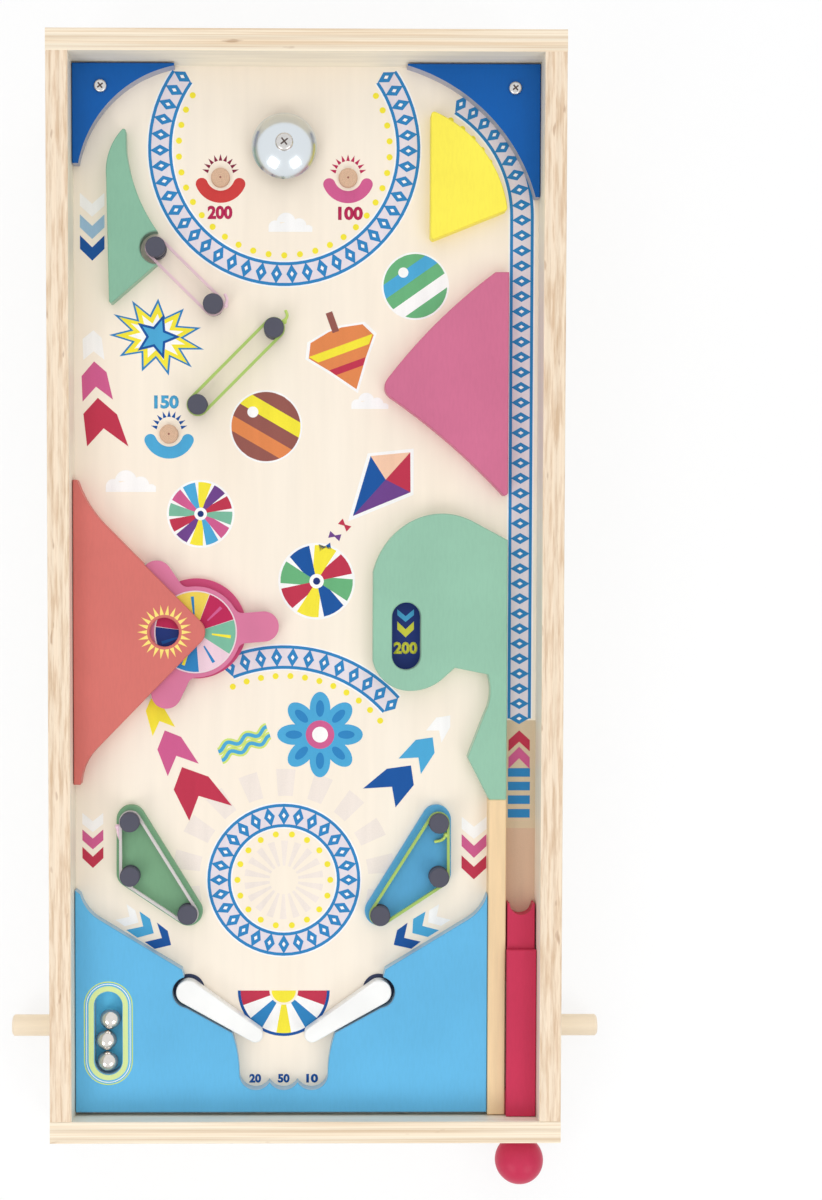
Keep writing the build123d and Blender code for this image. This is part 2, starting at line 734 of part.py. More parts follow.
with BuildPart() as bell_gong:
    with BuildSketch(upright_at(*bell_place)):
        with BuildLine():
            dome_arc(gong_radius, gong_rise)
            Line((gong_radius, gong_rim_up), (gong_radius - gong_wall, gong_rim_up))
            dome_arc(gong_radius - gong_wall, gong_rise - gong_wall)
            Line((0, gong_top_up - gong_wall), (0, gong_top_up))
        make_face()
    revolve(axis=gong_axis)
    with BuildSketch(deck_at(*bell_place, gong_top_up)):
        Circle(bell_screw_diameter / 2 + fit)
    extrude(amount=-gong_rise, mode=Mode.SUBTRACT)
bell_gong.part.label = "bell_gong"
export_step(bell_gong.part, "parts/bell_gong.step")

# The dome curves down inside, so the post stops where its edge meets the dome
inner_rise = gong_rise - gong_wall
inner_dome_radius = ((gong_radius - gong_wall) ** 2 + inner_rise**2) / (2 * inner_rise)
dome_drop = inner_dome_radius - math.sqrt(inner_dome_radius**2 - (bell_post_diameter / 2) ** 2)
post_head_up = gong_top_up - gong_wall - dome_drop - fit
with BuildPart() as bell_post:
    with BuildSketch(deck_at(*bell_place, -deck_thickness)):
        Circle(bell_post_diameter / 2)
    extrude(amount=deck_thickness + post_head_up)
    with BuildSketch(deck_at(*bell_place, post_head_up)):
        Circle(bell_screw_diameter / 2 + fit)
    extrude(amount=-bell_screw_depth, mode=Mode.SUBTRACT)
bell_post.part.label = "bell_post"
export_step(bell_post.part, "parts/bell_post.step")

with BuildPart() as bell_screw:
    with BuildSketch(deck_at(*bell_place, gong_top_up)):
        Circle(bell_screw_head / 2)
    extrude(amount=bell_screw_head_height)
    fillet(top_edges(bell_screw), bell_screw_head_round)
    with BuildSketch(deck_at(*bell_place, gong_top_up)):
        Circle(bell_screw_diameter / 2)
    extrude(amount=-(gong_top_up - post_head_up + bell_screw_depth - fit))
bell_screw.part.label = "bell_screw"
export_step(bell_screw.part, "parts/bell_screw.step")

# Flippers: each turns on a shaft through the deck and is driven by a lever and a push rod
shaft_top = flipper_bottom + shaft_in_flipper
lever_bottom = lever_top - lever_thickness
collar_outer = inner_half - seat_gap
collar_inner = collar_outer - collar_width

with BuildPart() as flipper_bushings:
    for pivot in pivots.values():
        with BuildSketch(deck_at(pivot, pivot_along)):
            Circle(recess_radius - flange_play)
            Circle(shaft_diameter / 2 + running_fit, mode=Mode.SUBTRACT)
        extrude(amount=bushing_flange_thickness)
        with BuildSketch(deck_at(pivot, pivot_along)):
            Circle(bushing_diameter / 2)
            Circle(shaft_diameter / 2 + running_fit, mode=Mode.SUBTRACT)
        extrude(amount=-(deck_thickness + bushing_below_deck))
flipper_bushings.part.label = "flipper_bushings"
export_step(flipper_bushings.part, "parts/flipper_bushings.step")

for name in ("left", "right"):
    pivot = pivots[name]
    turn = inward[name]
    rest = math.radians(-flipper_rest_angle)
    tip = (turn * flipper_length * math.cos(rest), flipper_length * math.sin(rest))
    with BuildPart() as flipper:
        with BuildSketch(deck_at(pivot, pivot_along, flipper_bottom)):
            Circle(flipper_hub_radius)
            with Locations(tip):
                Circle(flipper_tip_radius)
            make_hull()
        extrude(amount=block_height - flipper_bottom)
        chamfer(top_edges(flipper), block_chamfer)
        with BuildSketch(deck_at(pivot, pivot_along, flipper_bottom)):
            Circle(shaft_diameter / 2 + fit)
        extrude(amount=shaft_in_flipper, mode=Mode.SUBTRACT)
    flipper.part.label = f"{name}_flipper"
    export_step(flipper.part, f"parts/{name}_flipper.step")

    with BuildPart() as flipper_shaft:
        with BuildSketch(deck_at(pivot, pivot_along, lever_bottom)):
            Circle(shaft_diameter / 2)
        extrude(amount=shaft_top - fit - lever_bottom)
    flipper_shaft.part.label = f"{name}_flipper_shaft"
    export_step(flipper_shaft.part, f"parts/{name}_flipper_shaft.step")

    lean = math.radians(flipper_swing / 2)
    pin = (-turn * lever_length * math.sin(lean), -lever_length * math.cos(lean))
    with BuildPart() as flipper_lever:
        with BuildSketch(deck_at(pivot, pivot_along, lever_bottom)):
            Circle(lever_hub_radius)
            with Locations(pin):
                Circle(lever_end_radius)
            make_hull()
            Circle(shaft_diameter / 2 + fit, mode=Mode.SUBTRACT)
        extrude(amount=lever_thickness)
        with BuildSketch(deck_at(pivot, pivot_along, lever_bottom)):
            with Locations(pin):
                Circle(pin_diameter / 2)
        extrude(amount=-pin_depth)
    flipper_lever.part.label = f"{name}_flipper_lever"
    export_step(flipper_lever.part, f"parts/{name}_flipper_lever.step")

    pin_across = pivot + pin[0]
    rod_outer = -turn * (frame_width / 2 + rod_stand_out)
    rod_inner = pin_across + turn * rod_past_pin
    with BuildPart() as push_rod:
        with BuildSketch(side_on(min(rod_outer, rod_inner), rod_along, rod_up)):
            Circle(rod_diameter / 2)
        extrude(amount=abs(rod_outer - rod_inner))
        chamfer(push_rod.edges().filter_by(GeomType.CIRCLE), rod_chamfer)
        with BuildSketch(deck_at(pin_across, rod_along, rod_up + rod_diameter / 2)):
            Rectangle(pin_diameter + 2 * pin_play, rod_diameter)
        extrude(amount=-notch_depth, mode=Mode.SUBTRACT)
    push_rod.part.label = f"{name}_push_rod"
    export_step(push_rod.part, f"parts/{name}_push_rod.step")

    guide_inner = abs(pin_across) + guide_past_pin[name]
    guide_outer = guide_inner + guide_width
    collar_start = min(-turn * collar_outer, -turn * collar_inner)
    with BuildPart() as rod_collar:
        with BuildSketch(side_on(collar_start, rod_along, rod_up)):
            Circle(collar_diameter / 2)
            Circle(rod_diameter / 2 + fit, mode=Mode.SUBTRACT)
        extrude(amount=collar_width)
    rod_collar.part.label = f"{name}_rod_collar"
    export_step(rod_collar.part, f"parts/{name}_rod_collar.step")

    spring_start = min(-turn * collar_inner, -turn * guide_outer)
    with BuildPart() as rod_spring:
        with BuildSketch(side_on(spring_start, rod_along, rod_up)):
            Circle(rod_spring_diameter / 2)
            Circle(rod_spring_diameter / 2 - spring_wire, mode=Mode.SUBTRACT)
        extrude(amount=collar_inner - guide_outer)
    rod_spring.part.label = f"{name}_rod_spring"
    export_step(rod_spring.part, f"parts/{name}_rod_spring.step")

    guide_drop = -deck_thickness - rod_up + rod_diameter / 2 + guide_below_rod
    with BuildPart() as rod_guide:
        with BuildSketch(deck_at(-turn * (guide_outer + guide_inner) / 2, rod_along, -deck_thickness)):
            Rectangle(guide_width, guide_length)
        extrude(amount=-guide_drop)
        with BuildSketch(side_on(-turn * guide_outer, rod_along, rod_up)):
            Circle(rod_diameter / 2 + running_fit)
        extrude(amount=2 * guide_width, both=True, mode=Mode.SUBTRACT)
    rod_guide.part.label = f"{name}_rod_guide"
    export_step(rod_guide.part, f"parts/{name}_rod_guide.step")

# Plunger: striker, rod and knob on one axis, with a spring behind the striker
striker_tip = front_edge + striker_from_front
striker_front = striker_tip - striker_length
cover_block_rear = front_edge + cover_block_length
with BuildPart() as plunger_striker:
    with BuildSketch(deck_at(lane_centre, striker_tip, striker_bottom)):
        with Locations((0, -striker_length / 2)):
            Rectangle(striker_width, striker_length)
        Circle(striker_notch_radius, mode=Mode.SUBTRACT)
    extrude(amount=striker_height)
    chamfer(top_edges(plunger_striker).filter_by(GeomType.LINE).sort_by(Edge.length)[-3:], block_chamfer)
    with BuildSketch(upright_at(lane_centre, striker_front, plunger_up)):
        Circle(plunger_rod_diameter / 2 + fit)
    extrude(amount=-rod_in_striker, mode=Mode.SUBTRACT)
plunger_striker.part.label = "plunger_striker"
export_step(plunger_striker.part, "parts/plunger_striker.step")

rod_rear = striker_front + rod_in_striker - fit
rod_front = knob_back - rod_in_knob + fit
with BuildPart() as plunger_rod:
    with BuildSketch(upright_at(lane_centre, rod_rear, plunger_up)):
        Circle(plunger_rod_diameter / 2)
    extrude(amount=rod_rear - rod_front)
plunger_rod.part.label = "plunger_rod"
export_step(plunger_rod.part, "parts/plunger_rod.step")

with BuildPart(upright_at(lane_centre, knob_along, plunger_up)) as plunger_knob:
    Sphere(knob_radius)
    split(bisect_by=upright_at(lane_centre, knob_back, plunger_up), keep=Keep.TOP)
    with BuildSketch(upright_at(lane_centre, knob_back, plunger_up)):
        Circle(plunger_rod_diameter / 2 + fit)
    extrude(amount=rod_in_knob, mode=Mode.SUBTRACT)
plunger_knob.part.label = "plunger_knob"
export_step(plunger_knob.part, "parts/plunger_knob.step")

with BuildPart() as plunger_spring:
    with BuildSketch(upright_at(lane_centre, striker_front, plunger_up)):
        Circle(plunger_spring_diameter / 2)
        Circle(plunger_spring_diameter / 2 - spring_wire, mode=Mode.SUBTRACT)
    extrude(amount=striker_front - cover_block_rear)
plunger_spring.part.label = "plunger_spring"
export_step(plunger_spring.part, "parts/plunger_spring.step")

with BuildPart() as plunger_cover:
    with BuildSketch(deck_at(lane_centre, front_edge)):
        with Locations((0, cover_block_length / 2)):
            Rectangle(cover_width, cover_block_length)
    extrude(amount=cover_top)
    with BuildSketch(deck_at(lane_centre, front_edge, cover_bottom)):
        with Locations((0, cover_length / 2)):
            Rectangle(cover_width, cover_length)
    extrude(amount=cover_top - cover_bottom)
    chamfer(top_edges(plunger_cover), block_chamfer)
    with BuildSketch(upright_at(lane_centre, cover_block_rear, plunger_up)):
        Circle(plunger_rod_diameter / 2 + running_fit)
    extrude(amount=2 * cover_block_length, both=True, mode=Mode.SUBTRACT)
plunger_cover.part.label = "plunger_cover"
export_step(plunger_cover.part, "parts/plunger_cover.step")

# Steel balls rest in the apron's slot
for number, (across, along) in enumerate(ball_places, start=1):
    ball_radius = ball_diameter / 2
    with BuildPart(deck_at(slot_across + across, slot_along + along, ball_radius + ball_lift)) as ball:
        Sphere(ball_radius)
    ball.part.label = f"steel_ball_{number}"
    export_step(ball.part, f"parts/steel_ball_{number}.step")
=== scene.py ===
"""Looks of a tabletop pinball game: wood and paint, printed deck, coiled springs, studio stage.

The printed deck carries plain ornaments only: patterned bands, simple toys, arrows and numbers.
Lengths in the tables below are millimetres in the deck's own frame, as (across, along)."""
import functools
import math

import bmesh
import bpy
from mathutils import Euler, Matrix, Vector


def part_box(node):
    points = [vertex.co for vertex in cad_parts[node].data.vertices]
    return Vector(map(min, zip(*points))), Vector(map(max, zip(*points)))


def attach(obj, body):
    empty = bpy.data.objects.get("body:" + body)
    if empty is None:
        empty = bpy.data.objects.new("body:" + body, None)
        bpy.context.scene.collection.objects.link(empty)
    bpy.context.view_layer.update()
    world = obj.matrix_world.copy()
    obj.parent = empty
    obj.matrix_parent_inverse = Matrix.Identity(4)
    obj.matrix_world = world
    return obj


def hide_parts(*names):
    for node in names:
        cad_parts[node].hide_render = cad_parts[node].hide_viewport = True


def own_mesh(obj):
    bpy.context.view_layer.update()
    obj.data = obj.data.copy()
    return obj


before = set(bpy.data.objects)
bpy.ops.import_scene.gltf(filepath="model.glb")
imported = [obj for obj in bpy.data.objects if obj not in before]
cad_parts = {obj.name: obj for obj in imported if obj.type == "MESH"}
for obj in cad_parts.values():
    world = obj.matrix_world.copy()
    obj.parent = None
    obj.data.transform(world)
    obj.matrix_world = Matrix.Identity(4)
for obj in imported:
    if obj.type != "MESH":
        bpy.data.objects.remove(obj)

bl_info = {
    "name": "Tabletop Pinball Game",
    "version": (1, 0, 0),
    "blender": (4, 5, 0),
    "location": "3D View > Sidebar > Pinball",
    "description": "Finishes a tabletop pinball game: materials, printed deck, springs and a studio",
    "category": "Object",
}

MM = 0.001
WHITE = (1.0, 1.0, 1.0, 1.0)

# The deck's slope and place, and the thickness of its prints
SLOPE = math.atan(45 / 600)
DECK_Y = 15.2953
DECK_Z = 47.5700
PRINT_STEP = 0.03
PRINT_SINK = 0.05

# Wood: span and wander of a board's layers, pitch of the rings on a peg's end
LAYER_SPAN = 12.7
LAYER_WANDER = 0.7
RING_PITCH = 0.9

# Gap at each seat of the plunger's spring
SEAT_GAP = 0.35

# Small things: cord and knot radius, painted shade of the screw recesses, peg dot, window rays
CORD_RADIUS = 0.85
KNOT_RADIUS = 1.5
RECESS_HALF = 0.42
RECESS_DEPTH = 0.1
PEG_DOT = 0.55
RAY_RING = 11.3
RAY_SIZE = (1.3, 3.6)

# Prints: how bold the figures are, points along a slice, a band's white rim, how far in the beads lie
BOLDNESS = 0.048
SLICE_POINTS = 14
BAND_RIM = 1.6
BEAD_INSET = 10.2

# Where things stand on the deck
BELL = (-12.0, 242.33)
WHEEL = (-60.5, -21.87)
WINDOW = (-77.3, -21.87)
PEGS = ((-46.9, 226.43), (22.9, 226.43), (-75.3, 86.73))
SCREWS = ((-111.6, 273.83), (113.3, 273.23))
BALL_SLOT = (-108.9, -243.8)
MINT_SLOT = (55.25, -24.1)
TARGET = (-12.0, -160.0)
FAN = (-12.0, -116.0)
LANE = (109.6, 127.9)
LANE_CORNER = (46.5, 206.0)
FIELD_AXIS = -12.0

# Heights above the deck
BLOCK_TOP = 9.0
COVER_TOP = 12.5
DIAL_TOP = 8.0
SCREW_TOP = 11.2
BELL_SCREW_TOP = 19.6
PEG_TOP = 3.0
BAND_UP = 7.0

# Studio: floor, world, camera and soft boxes, in metres and degrees
FLOOR_HALF = 4.0
FLOOR_GLOW = 0.75
WORLD_TINT = (0.98, 0.99, 1.0, 1.0)
CAMERA_PLACE = (-0.0090, -0.0520, 1.1090)
CAMERA_TURN = (1.9, -0.495, 0.027)
CAMERA_SHIFT = (0.0875, 0.0417)
SENSOR_WIDTH = 36.0
CLIP_START = 0.01
BOX_TARGET = (0, 0, 0.06)
# Name, place, size, share of the power, and whether gloss shows the box
SOFT_BOXES = (
    ("Top soft box", (0.0, 0.0, 2.3), (3.4, 3.4), 2.0, False),
    ("Left soft box", (-1.1, -1.25, 1.2), (0.9, 0.9), 0.75, True),
    ("Right soft box", (1.1, -1.25, 1.2), (0.9, 0.9), 0.65, True),
    ("Rear soft box", (0.0, 2.2, 1.2), (4.0, 2.0), 2.1, False),
)

# Printing inks as 8-bit display colours
INKS = {
    "white": (250, 248, 246),
    "cream": (252, 226, 124),
    "yellow": (244, 228, 58),
    "lemon": (236, 208, 84),
    "lime": (206, 226, 118),
    "pale_lime": (214, 230, 158),
    "citrus": (214, 212, 68),
    "mint": (122, 184, 156),
    "green": (104, 176, 122),
    "sky": (74, 166, 212),
    "pale_blue": (156, 190, 216),
    "blue": (44, 130, 190),
    "royal": (16, 82, 156),
    "navy": (26, 48, 116),
    "slot_blue": (112, 216, 255),
    "violet": (108, 64, 136),
    "pink": (206, 92, 142),
    "rose": (236, 204, 216),
    "pearl": (228, 219, 226),
    "red": (190, 50, 76),
    "scarlet": (204, 62, 60),
    "crimson": (186, 36, 84),
    "wine": (130, 30, 62),
    "orange": (224, 134, 78),
    "brown": (146, 86, 78),
    "peach": (244, 200, 170),
    "haze": (240, 228, 218),
    # Lane floor inks: board tones that also carry painted shade from the lane's walls
    "sand": (216, 196, 166),
    "tan": (214, 182, 156),
}


def linear(color):
    """Linear colour for an 8-bit display colour; a colour setting is linear already."""
    if len(color) == 4:
        return tuple(color)
    parts = [part / 255 for part in color]
    return (*[part / 12.92 if part <= 0.04045 else ((part + 0.055) / 1.055) ** 2.4 for part in parts], 1.0)


def shade(color, factor):
    """A darker or lighter copy of a linear colour."""
    return (*[min(1.0, part * factor) for part in color[:3]], 1.0)


def deck_matrix(up=0.0):
    """Turn flat millimetres in the deck's frame into metres in the row's frame."""
    place = Matrix.Translation((0, DECK_Y * MM, DECK_Z * MM))
    return place @ Matrix.Rotation(SLOPE, 4, "X") @ Matrix.Scale(MM, 4) @ Matrix.Translation((0, 0, up))


# ---- Materials ----


class Nodes:
    """A node tree that is emptied and built node by node."""

    family = "ShaderNode"

    def __init__(self, tree):
        self.tree = tree
        tree.nodes.clear()

    def node(self, kind, sockets=None, **settings):
        made = self.tree.nodes.new(self.family + kind)
        for key, value in settings.items():
            setattr(made, key, value)
        for key, value in (sockets or {}).items():
            if isinstance(value, bpy.types.NodeSocket):
                self.tree.links.new(value, made.inputs[key])
            else:
                made.inputs[key].default_value = value
        return made

    def first(self, kind, sockets=None, **settings):
        """The first output of a new node."""
        return self.node(kind, sockets, **settings).outputs[0]

    def math(self, operation, first, second=0.0, third=0.0):
        return self.first("Math", {0: first, 1: second, 2: third}, operation=operation)

    def seen(self):
        """1 for what the camera, gloss or clear matter shows, and 0 for light that falls on things."""
        rays = self.node("LightPath").outputs
        mirrored = self.math("MAXIMUM", rays["Is Glossy Ray"], rays["Is Transmission Ray"])
        return self.math("MAXIMUM", rays["Is Camera Ray"], mirrored)


class Shader(Nodes):
    """A new procedural material with a base colour."""

    def __init__(self, name, color=WHITE):
        self.material = bpy.data.materials.new(name)
        self.material.use_nodes = True
        self.base = linear(color)
        super().__init__(self.material.node_tree)

    def coords(self, scale=(1, 1, 1)):
        return self.first("Mapping", {"Vector": self.node("TexCoord").outputs["Object"], "Scale": scale})

    def upward(self):
        """How far a face looks up, from -1 to 1."""
        return self.node("SeparateXYZ", {"Vector": self.node("TexCoord").outputs["Normal"]}).outputs["Z"]

    def noise(self, vector, scale, detail=3.0, rough=0.5):
        return self.first("TexNoise",
                          {"Vector": vector, "Scale": scale, "Detail": detail, "Roughness": rough})

    def streaks(self, scale, detail=2.0, rough=0.5):
        """Noise that is drawn out along the axis whose scale is lowest."""
        return self.noise(self.coords(scale), 1.0, detail, rough)

    def ramp(self, factor, *stops):
        """A ramp between two colours; each stop is a place and a colour."""
        made = self.node("ValToRGB", {"Fac": factor})
        for element, (place, color) in zip(made.color_ramp.elements, stops):
            element.position = place
            element.color = linear(color)
        return made.outputs["Color"]

    def tones(self, factor, *stops, color=None):
        """A ramp between shades of a colour, the base colour at first; each stop is a place and a factor."""
        return self.ramp(factor, *[(place, shade(color or self.base, part)) for place, part in stops])

    def mix(self, factor, first, second, blend="MIX"):
        sockets = {0: factor, 6: first, 7: second}
        return self.node("Mix", sockets, data_type="RGBA", blend_type=blend).outputs[2]

    def bump(self, height, strength, distance):
        return self.first("Bump", {"Height": height, "Strength": strength, "Distance": distance * MM})

    def finish(self, color, roughness, normal=None, **sockets):
        values = {"Base Color": color, "Roughness": roughness}
        if normal is not None:
            values["Normal"] = normal
        values.update({key.replace("_", " "): value for key, value in sockets.items()})
        surface = self.node("BsdfPrincipled", values)
        self.node("OutputMaterial", {"Surface": surface.outputs["BSDF"]})
        return self.material


def layered_board(board, settings):
    """Plywood: layers or fine streaks on the rim, plain veneer on the upright faces."""
    end = board in ("front_board", "rear_board")
    s = Shader(board.replace("_", " ").capitalize() + " plywood",
               settings.end_rim if end else settings.side_rim)
    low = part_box(board)[0]
    place = s.node("SeparateXYZ", {"Vector": s.coords()})
    streak = s.streaks((5, 420, 420) if end else (560, 2.6, 560), 5.0, 0.6)
    wander = s.streaks((12, 12, 12))
    across = s.math("SUBTRACT", place.outputs["Y" if end else "X"], low.y if end else low.x)
    across = s.math("MULTIPLY_ADD", wander, LAYER_WANDER * MM, across)
    share = s.math("MULTIPLY", across, settings.layer_count / (LAYER_SPAN * MM))
    parity = s.math("PINGPONG", share, 1.0)
    edge = s.math("SMOOTH_MIN", parity, s.math("SUBTRACT", 1.0, parity), 0.1)
    layer = s.tones(parity, (0.35, 1.03), (0.62, 0.95 if end else 0.985))
    fine = s.ramp(streak, (0.34, (230, 210, 186) if end else (216, 192, 166)), (0.56, (255, 253, 250)))
    top = s.mix(settings.layer_contrast, layer, fine, "MULTIPLY")
    top = s.mix(0.3 if end else 0.12, top, s.ramp(edge, (0.0, (216, 190, 158)), (0.16, WHITE)), "MULTIPLY")
    fleck = s.streaks((60, 230, 230) if end else (320, 60, 320), rough=0.4)
    top = s.mix(0.5, top, s.ramp(fleck, (0.22, (176, 138, 108)), (0.29, WHITE)), "MULTIPLY")
    side_streak = s.streaks((14, 200, 200) if end else (200, 14, 200), 3.0, 0.55)
    side = s.tones(side_streak, (0.3, 0.9), (0.7, 1.03), color=settings.veneer)
    color = s.mix(s.math("GREATER_THAN", s.upward(), 0.55), side, top)
    roughness = s.math("MULTIPLY_ADD", streak, 0.15, 0.42)
    return s.finish(color, roughness, s.bump(streak, 0.25, 0.12), Specular_IOR_Level=0.3)


def grain(name, color, scale, depth=0.12, rough=0.5):
    """Solid wood with grain along the axis whose scale is lowest."""
    s = Shader(name, color)
    streak = s.streaks(scale, 4.0, 0.6)
    broad = s.streaks([part * 0.2 for part in scale])
    tone = s.tones(streak, (0.3, 1 - depth), (0.65, 1.03))
    tone = s.mix(0.35, tone, s.tones(broad, (0.35, 1 - 1.5 * depth), (0.6, 1.04)))
    return s.finish(tone, rough, s.bump(streak, 0.2, 0.1))


def end_grain(name, color, centres):
    """A sawn end with rings round the nearest of some centres."""
    s = Shader(name, color)
    place = s.coords()
    rings = None
    for across, along in centres:
        centre = deck_matrix(PEG_TOP) @ Vector((across, along, 0))
        away = s.node("VectorMath", {0: place, 1: centre}, operation="DISTANCE").outputs["Value"]
        rings = away if rings is None else s.math("MINIMUM", rings, away)
    wave = s.math("SINE", s.math("MULTIPLY", rings, 2 * math.pi / (RING_PITCH * MM)))
    pores = s.noise(place, 1600.0, 2.0)
    tone = s.tones(s.math("MULTIPLY_ADD", wave, 0.12, pores), (0.3, 0.86), (0.62, 1.04))
    return s.finish(tone, 0.6, s.bump(pores, 0.2, 0.1))


def paint(name, color, rough=0.45, edge=0.0):
    """Brushed or sprayed paint on wood; edge is how much a pale wood colour covers the upright faces,
    standing partly for raw wood and partly for a painted highlight where light grazes them.
    """
    s = Shader(name, color)
    cloud = s.noise(s.coords(), 22.0, 2.0)
    grit = s.streaks((900, 160, 900), 3.0)
    tone = s.tones(cloud, (0.3, 0.95), (0.7, 1.04))
    tone = s.mix(0.08, tone, s.tones(grit, (0.35, 0.7), (0.6, 1.1)))
    if edge:
        # Upright faces take a pale wood colour: partly raw wood, partly a painted highlight where light
        # grazes the sides.
        upright = s.math("MULTIPLY", s.math("LESS_THAN", s.upward(), 0.5), edge)
        tone = s.mix(upright, tone, linear((226, 216, 204)))
    rough_spread = s.math("MULTIPLY_ADD", grit, 0.12, rough - 0.06)
    return s.finish(tone, rough_spread, s.bump(grit, 0.12, 0.08), Specular_IOR_Level=0.2)


def plastic(name, color, rough=0.3, see_through=0.0, shine=0.5):
    """Moulded plastic or rubber with a fine orange-peel surface."""
    s = Shader(name, color)
    peel = s.noise(s.coords(), 900.0, 2.0)
    cloud = s.noise(s.coords(), 40.0, 2.0)
    tone = s.tones(cloud, (0.35, 0.96), (0.65, 1.03))
    normal = s.bump(peel, 0.08, 0.05)
    return s.finish(tone, rough, normal, Transmission_Weight=see_through, IOR=1.4, Specular_IOR_Level=shine)


def metal(name, color, rough=0.15, scratch=0.05, turned=None):
    """Plated or ground metal; a turned piece has fine rings round a place on the deck."""
    s = Shader(name, color)
    place = s.coords()
    fine = s.noise(place, 700.0, 3.0)
    if turned:
        centre = deck_matrix() @ Vector((*turned, 0))
        offset = s.first("VectorMath", {0: place, 1: centre}, operation="SUBTRACT")
        flat = s.first("VectorMath", {0: offset, 1: (1, 1, 0.2)}, operation="MULTIPLY")
        away = s.node("VectorMath", {0: flat}, operation="LENGTH").outputs["Value"]
        fine = s.noise(s.first("CombineXYZ", {"X": away}), 5000.0, 2.0)
    tone = s.tones(fine, (0.3, 0.94), (0.7, 1.0))
    spread = s.math("MULTIPLY_ADD", fine, 0.1, rough)
    return s.finish(tone, spread, s.bump(fine, scratch, 0.02), Metallic=1.0)


def printed_board(name, color):
    """The deck's face: smooth pale board with a faint long grain."""
    s = Shader(name, color)
    streak = s.streaks((160, 7, 160), 4.0, 0.55)
    broad = s.streaks((18, 4, 18))
    tone = s.tones(streak, (0.3, 0.95), (0.7, 1.02))
    warm = s.ramp(broad, (0.3, (247, 232, 212)), (0.7, (249, 240, 226)))
    return s.finish(s.mix(0.4, tone, warm), 0.5, s.bump(streak, 0.08, 0.05))


def ink(name, color):
    """Printing ink through which a little of the board's grain shows."""
    s = Shader(name, color)
    streak = s.streaks((160, 7, 160), 4.0, 0.55)
    dots = s.noise(s.coords(), 1500.0, 2.0)
    tone = s.tones(streak, (0.3, 0.94), (0.7, 1.03))
    tone = s.mix(0.08, tone, s.tones(dots, (0.35, 0.75), (0.6, 1.15)))
    return s.finish(tone, 0.45, s.bump(dots, 0.05, 0.02), Specular_IOR_Level=0.2)


@functools.cache
def ink_material(key):
    """The material of one ink, made once."""
    return ink("Ink " + key.replace("_", " "), INKS[key])


def dress(material, *nodes):
    """Give CAD nodes a material."""
    for name in nodes:
        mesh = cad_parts[name].data
        mesh.materials.clear()
        mesh.materials.append(material)


def plain_mesh(holder):
    """The finished mesh of an object, which is removed."""
    bpy.context.scene.collection.objects.link(holder)
    bpy.context.view_layer.update()
    mesh = bpy.data.meshes.new_from_object(holder.evaluated_get(bpy.context.evaluated_depsgraph_get()))
    bpy.data.objects.remove(holder)
    return mesh


def add_piece(name, mesh, material):
    """Show a mesh in metres as a piece of its own."""
    mesh.materials.clear()
    mesh.materials.append(material)
    piece = bpy.data.objects.new(name, mesh)
    bpy.context.scene.collection.objects.link(piece)
    return piece


def add_flat(name, work, material):
    """Show a bmesh in the deck's millimetres as a piece of its own."""
    bmesh.ops.transform(work, verts=work.verts, matrix=deck_matrix())
    mesh = bpy.data.meshes.new(name)
    work.to_mesh(mesh)
    work.free()
    return add_piece(name, mesh, material)


# ---- Flat shapes ----


def arc(centre, radius, start, sweep, count=None):
    """Points on an arc; angles in degrees."""
    count = count or max(3, int(abs(sweep) / 6) + 1)
    out = []
    for index in range(count):
        angle = math.radians(start + sweep * index / (count - 1))
        out.append((centre[0] + radius * math.cos(angle), centre[1] + radius * math.sin(angle)))
    return out


def circle(centre, radius, count=40):
    return arc(centre, radius, 0, 360 * (count - 1) / count, count)


def star(centre, outer, inner, points, turn=0.0):
    """A star outline with its first point turned by an angle in degrees."""
    out = []
    for index in range(2 * points):
        radius = inner if index % 2 else outer
        angle = math.radians(turn + 180 * index / points)
        out.append((centre[0] + radius * math.cos(angle), centre[1] + radius * math.sin(angle)))
    return out


def placed(points, centre, turn=0.0, size=1.0):
    """An outline turned, scaled and moved."""
    c, s = math.cos(math.radians(turn)), math.sin(math.radians(turn))
    return [(centre[0] + size * (x * c - y * s), centre[1] + size * (x * s + y * c)) for x, y in points]


def rectangle(low, high):
    """An upright rectangle between its lower left and its upper right corner."""
    return [low, (high[0], low[1]), high, (low[0], high[1])]


def disc_slice(radius, low, high):
    """The part of a disc between two parallel lines, low and high as shares of the radius."""
    out = []
    for index in range(SLICE_POINTS):
        y = low + (high - low) * index / (SLICE_POINTS - 1)
        out.append((radius * math.sqrt(max(0.0, 1 - y * y)), radius * y))
    return out + [(-x, y) for x, y in reversed(out)]


def prism(work, outline, low, high):
    """Add a closed block with upright sides to a bmesh."""
    area = sum(a[0] * b[1] - b[0] * a[1] for a, b in zip(outline, outline[1:] + outline[:1]))
    if area < 0:
        outline = outline[::-1]
    bottom = [work.verts.new((x, y, low)) for x, y in outline]
    top = [work.verts.new((x, y, high)) for x, y in outline]
    work.faces.new(top)
    work.faces.new(bottom[::-1])
    for index, vert in enumerate(bottom):
        after = (index + 1) % len(bottom)
        work.faces.new((vert, bottom[after], top[after], top[index]))


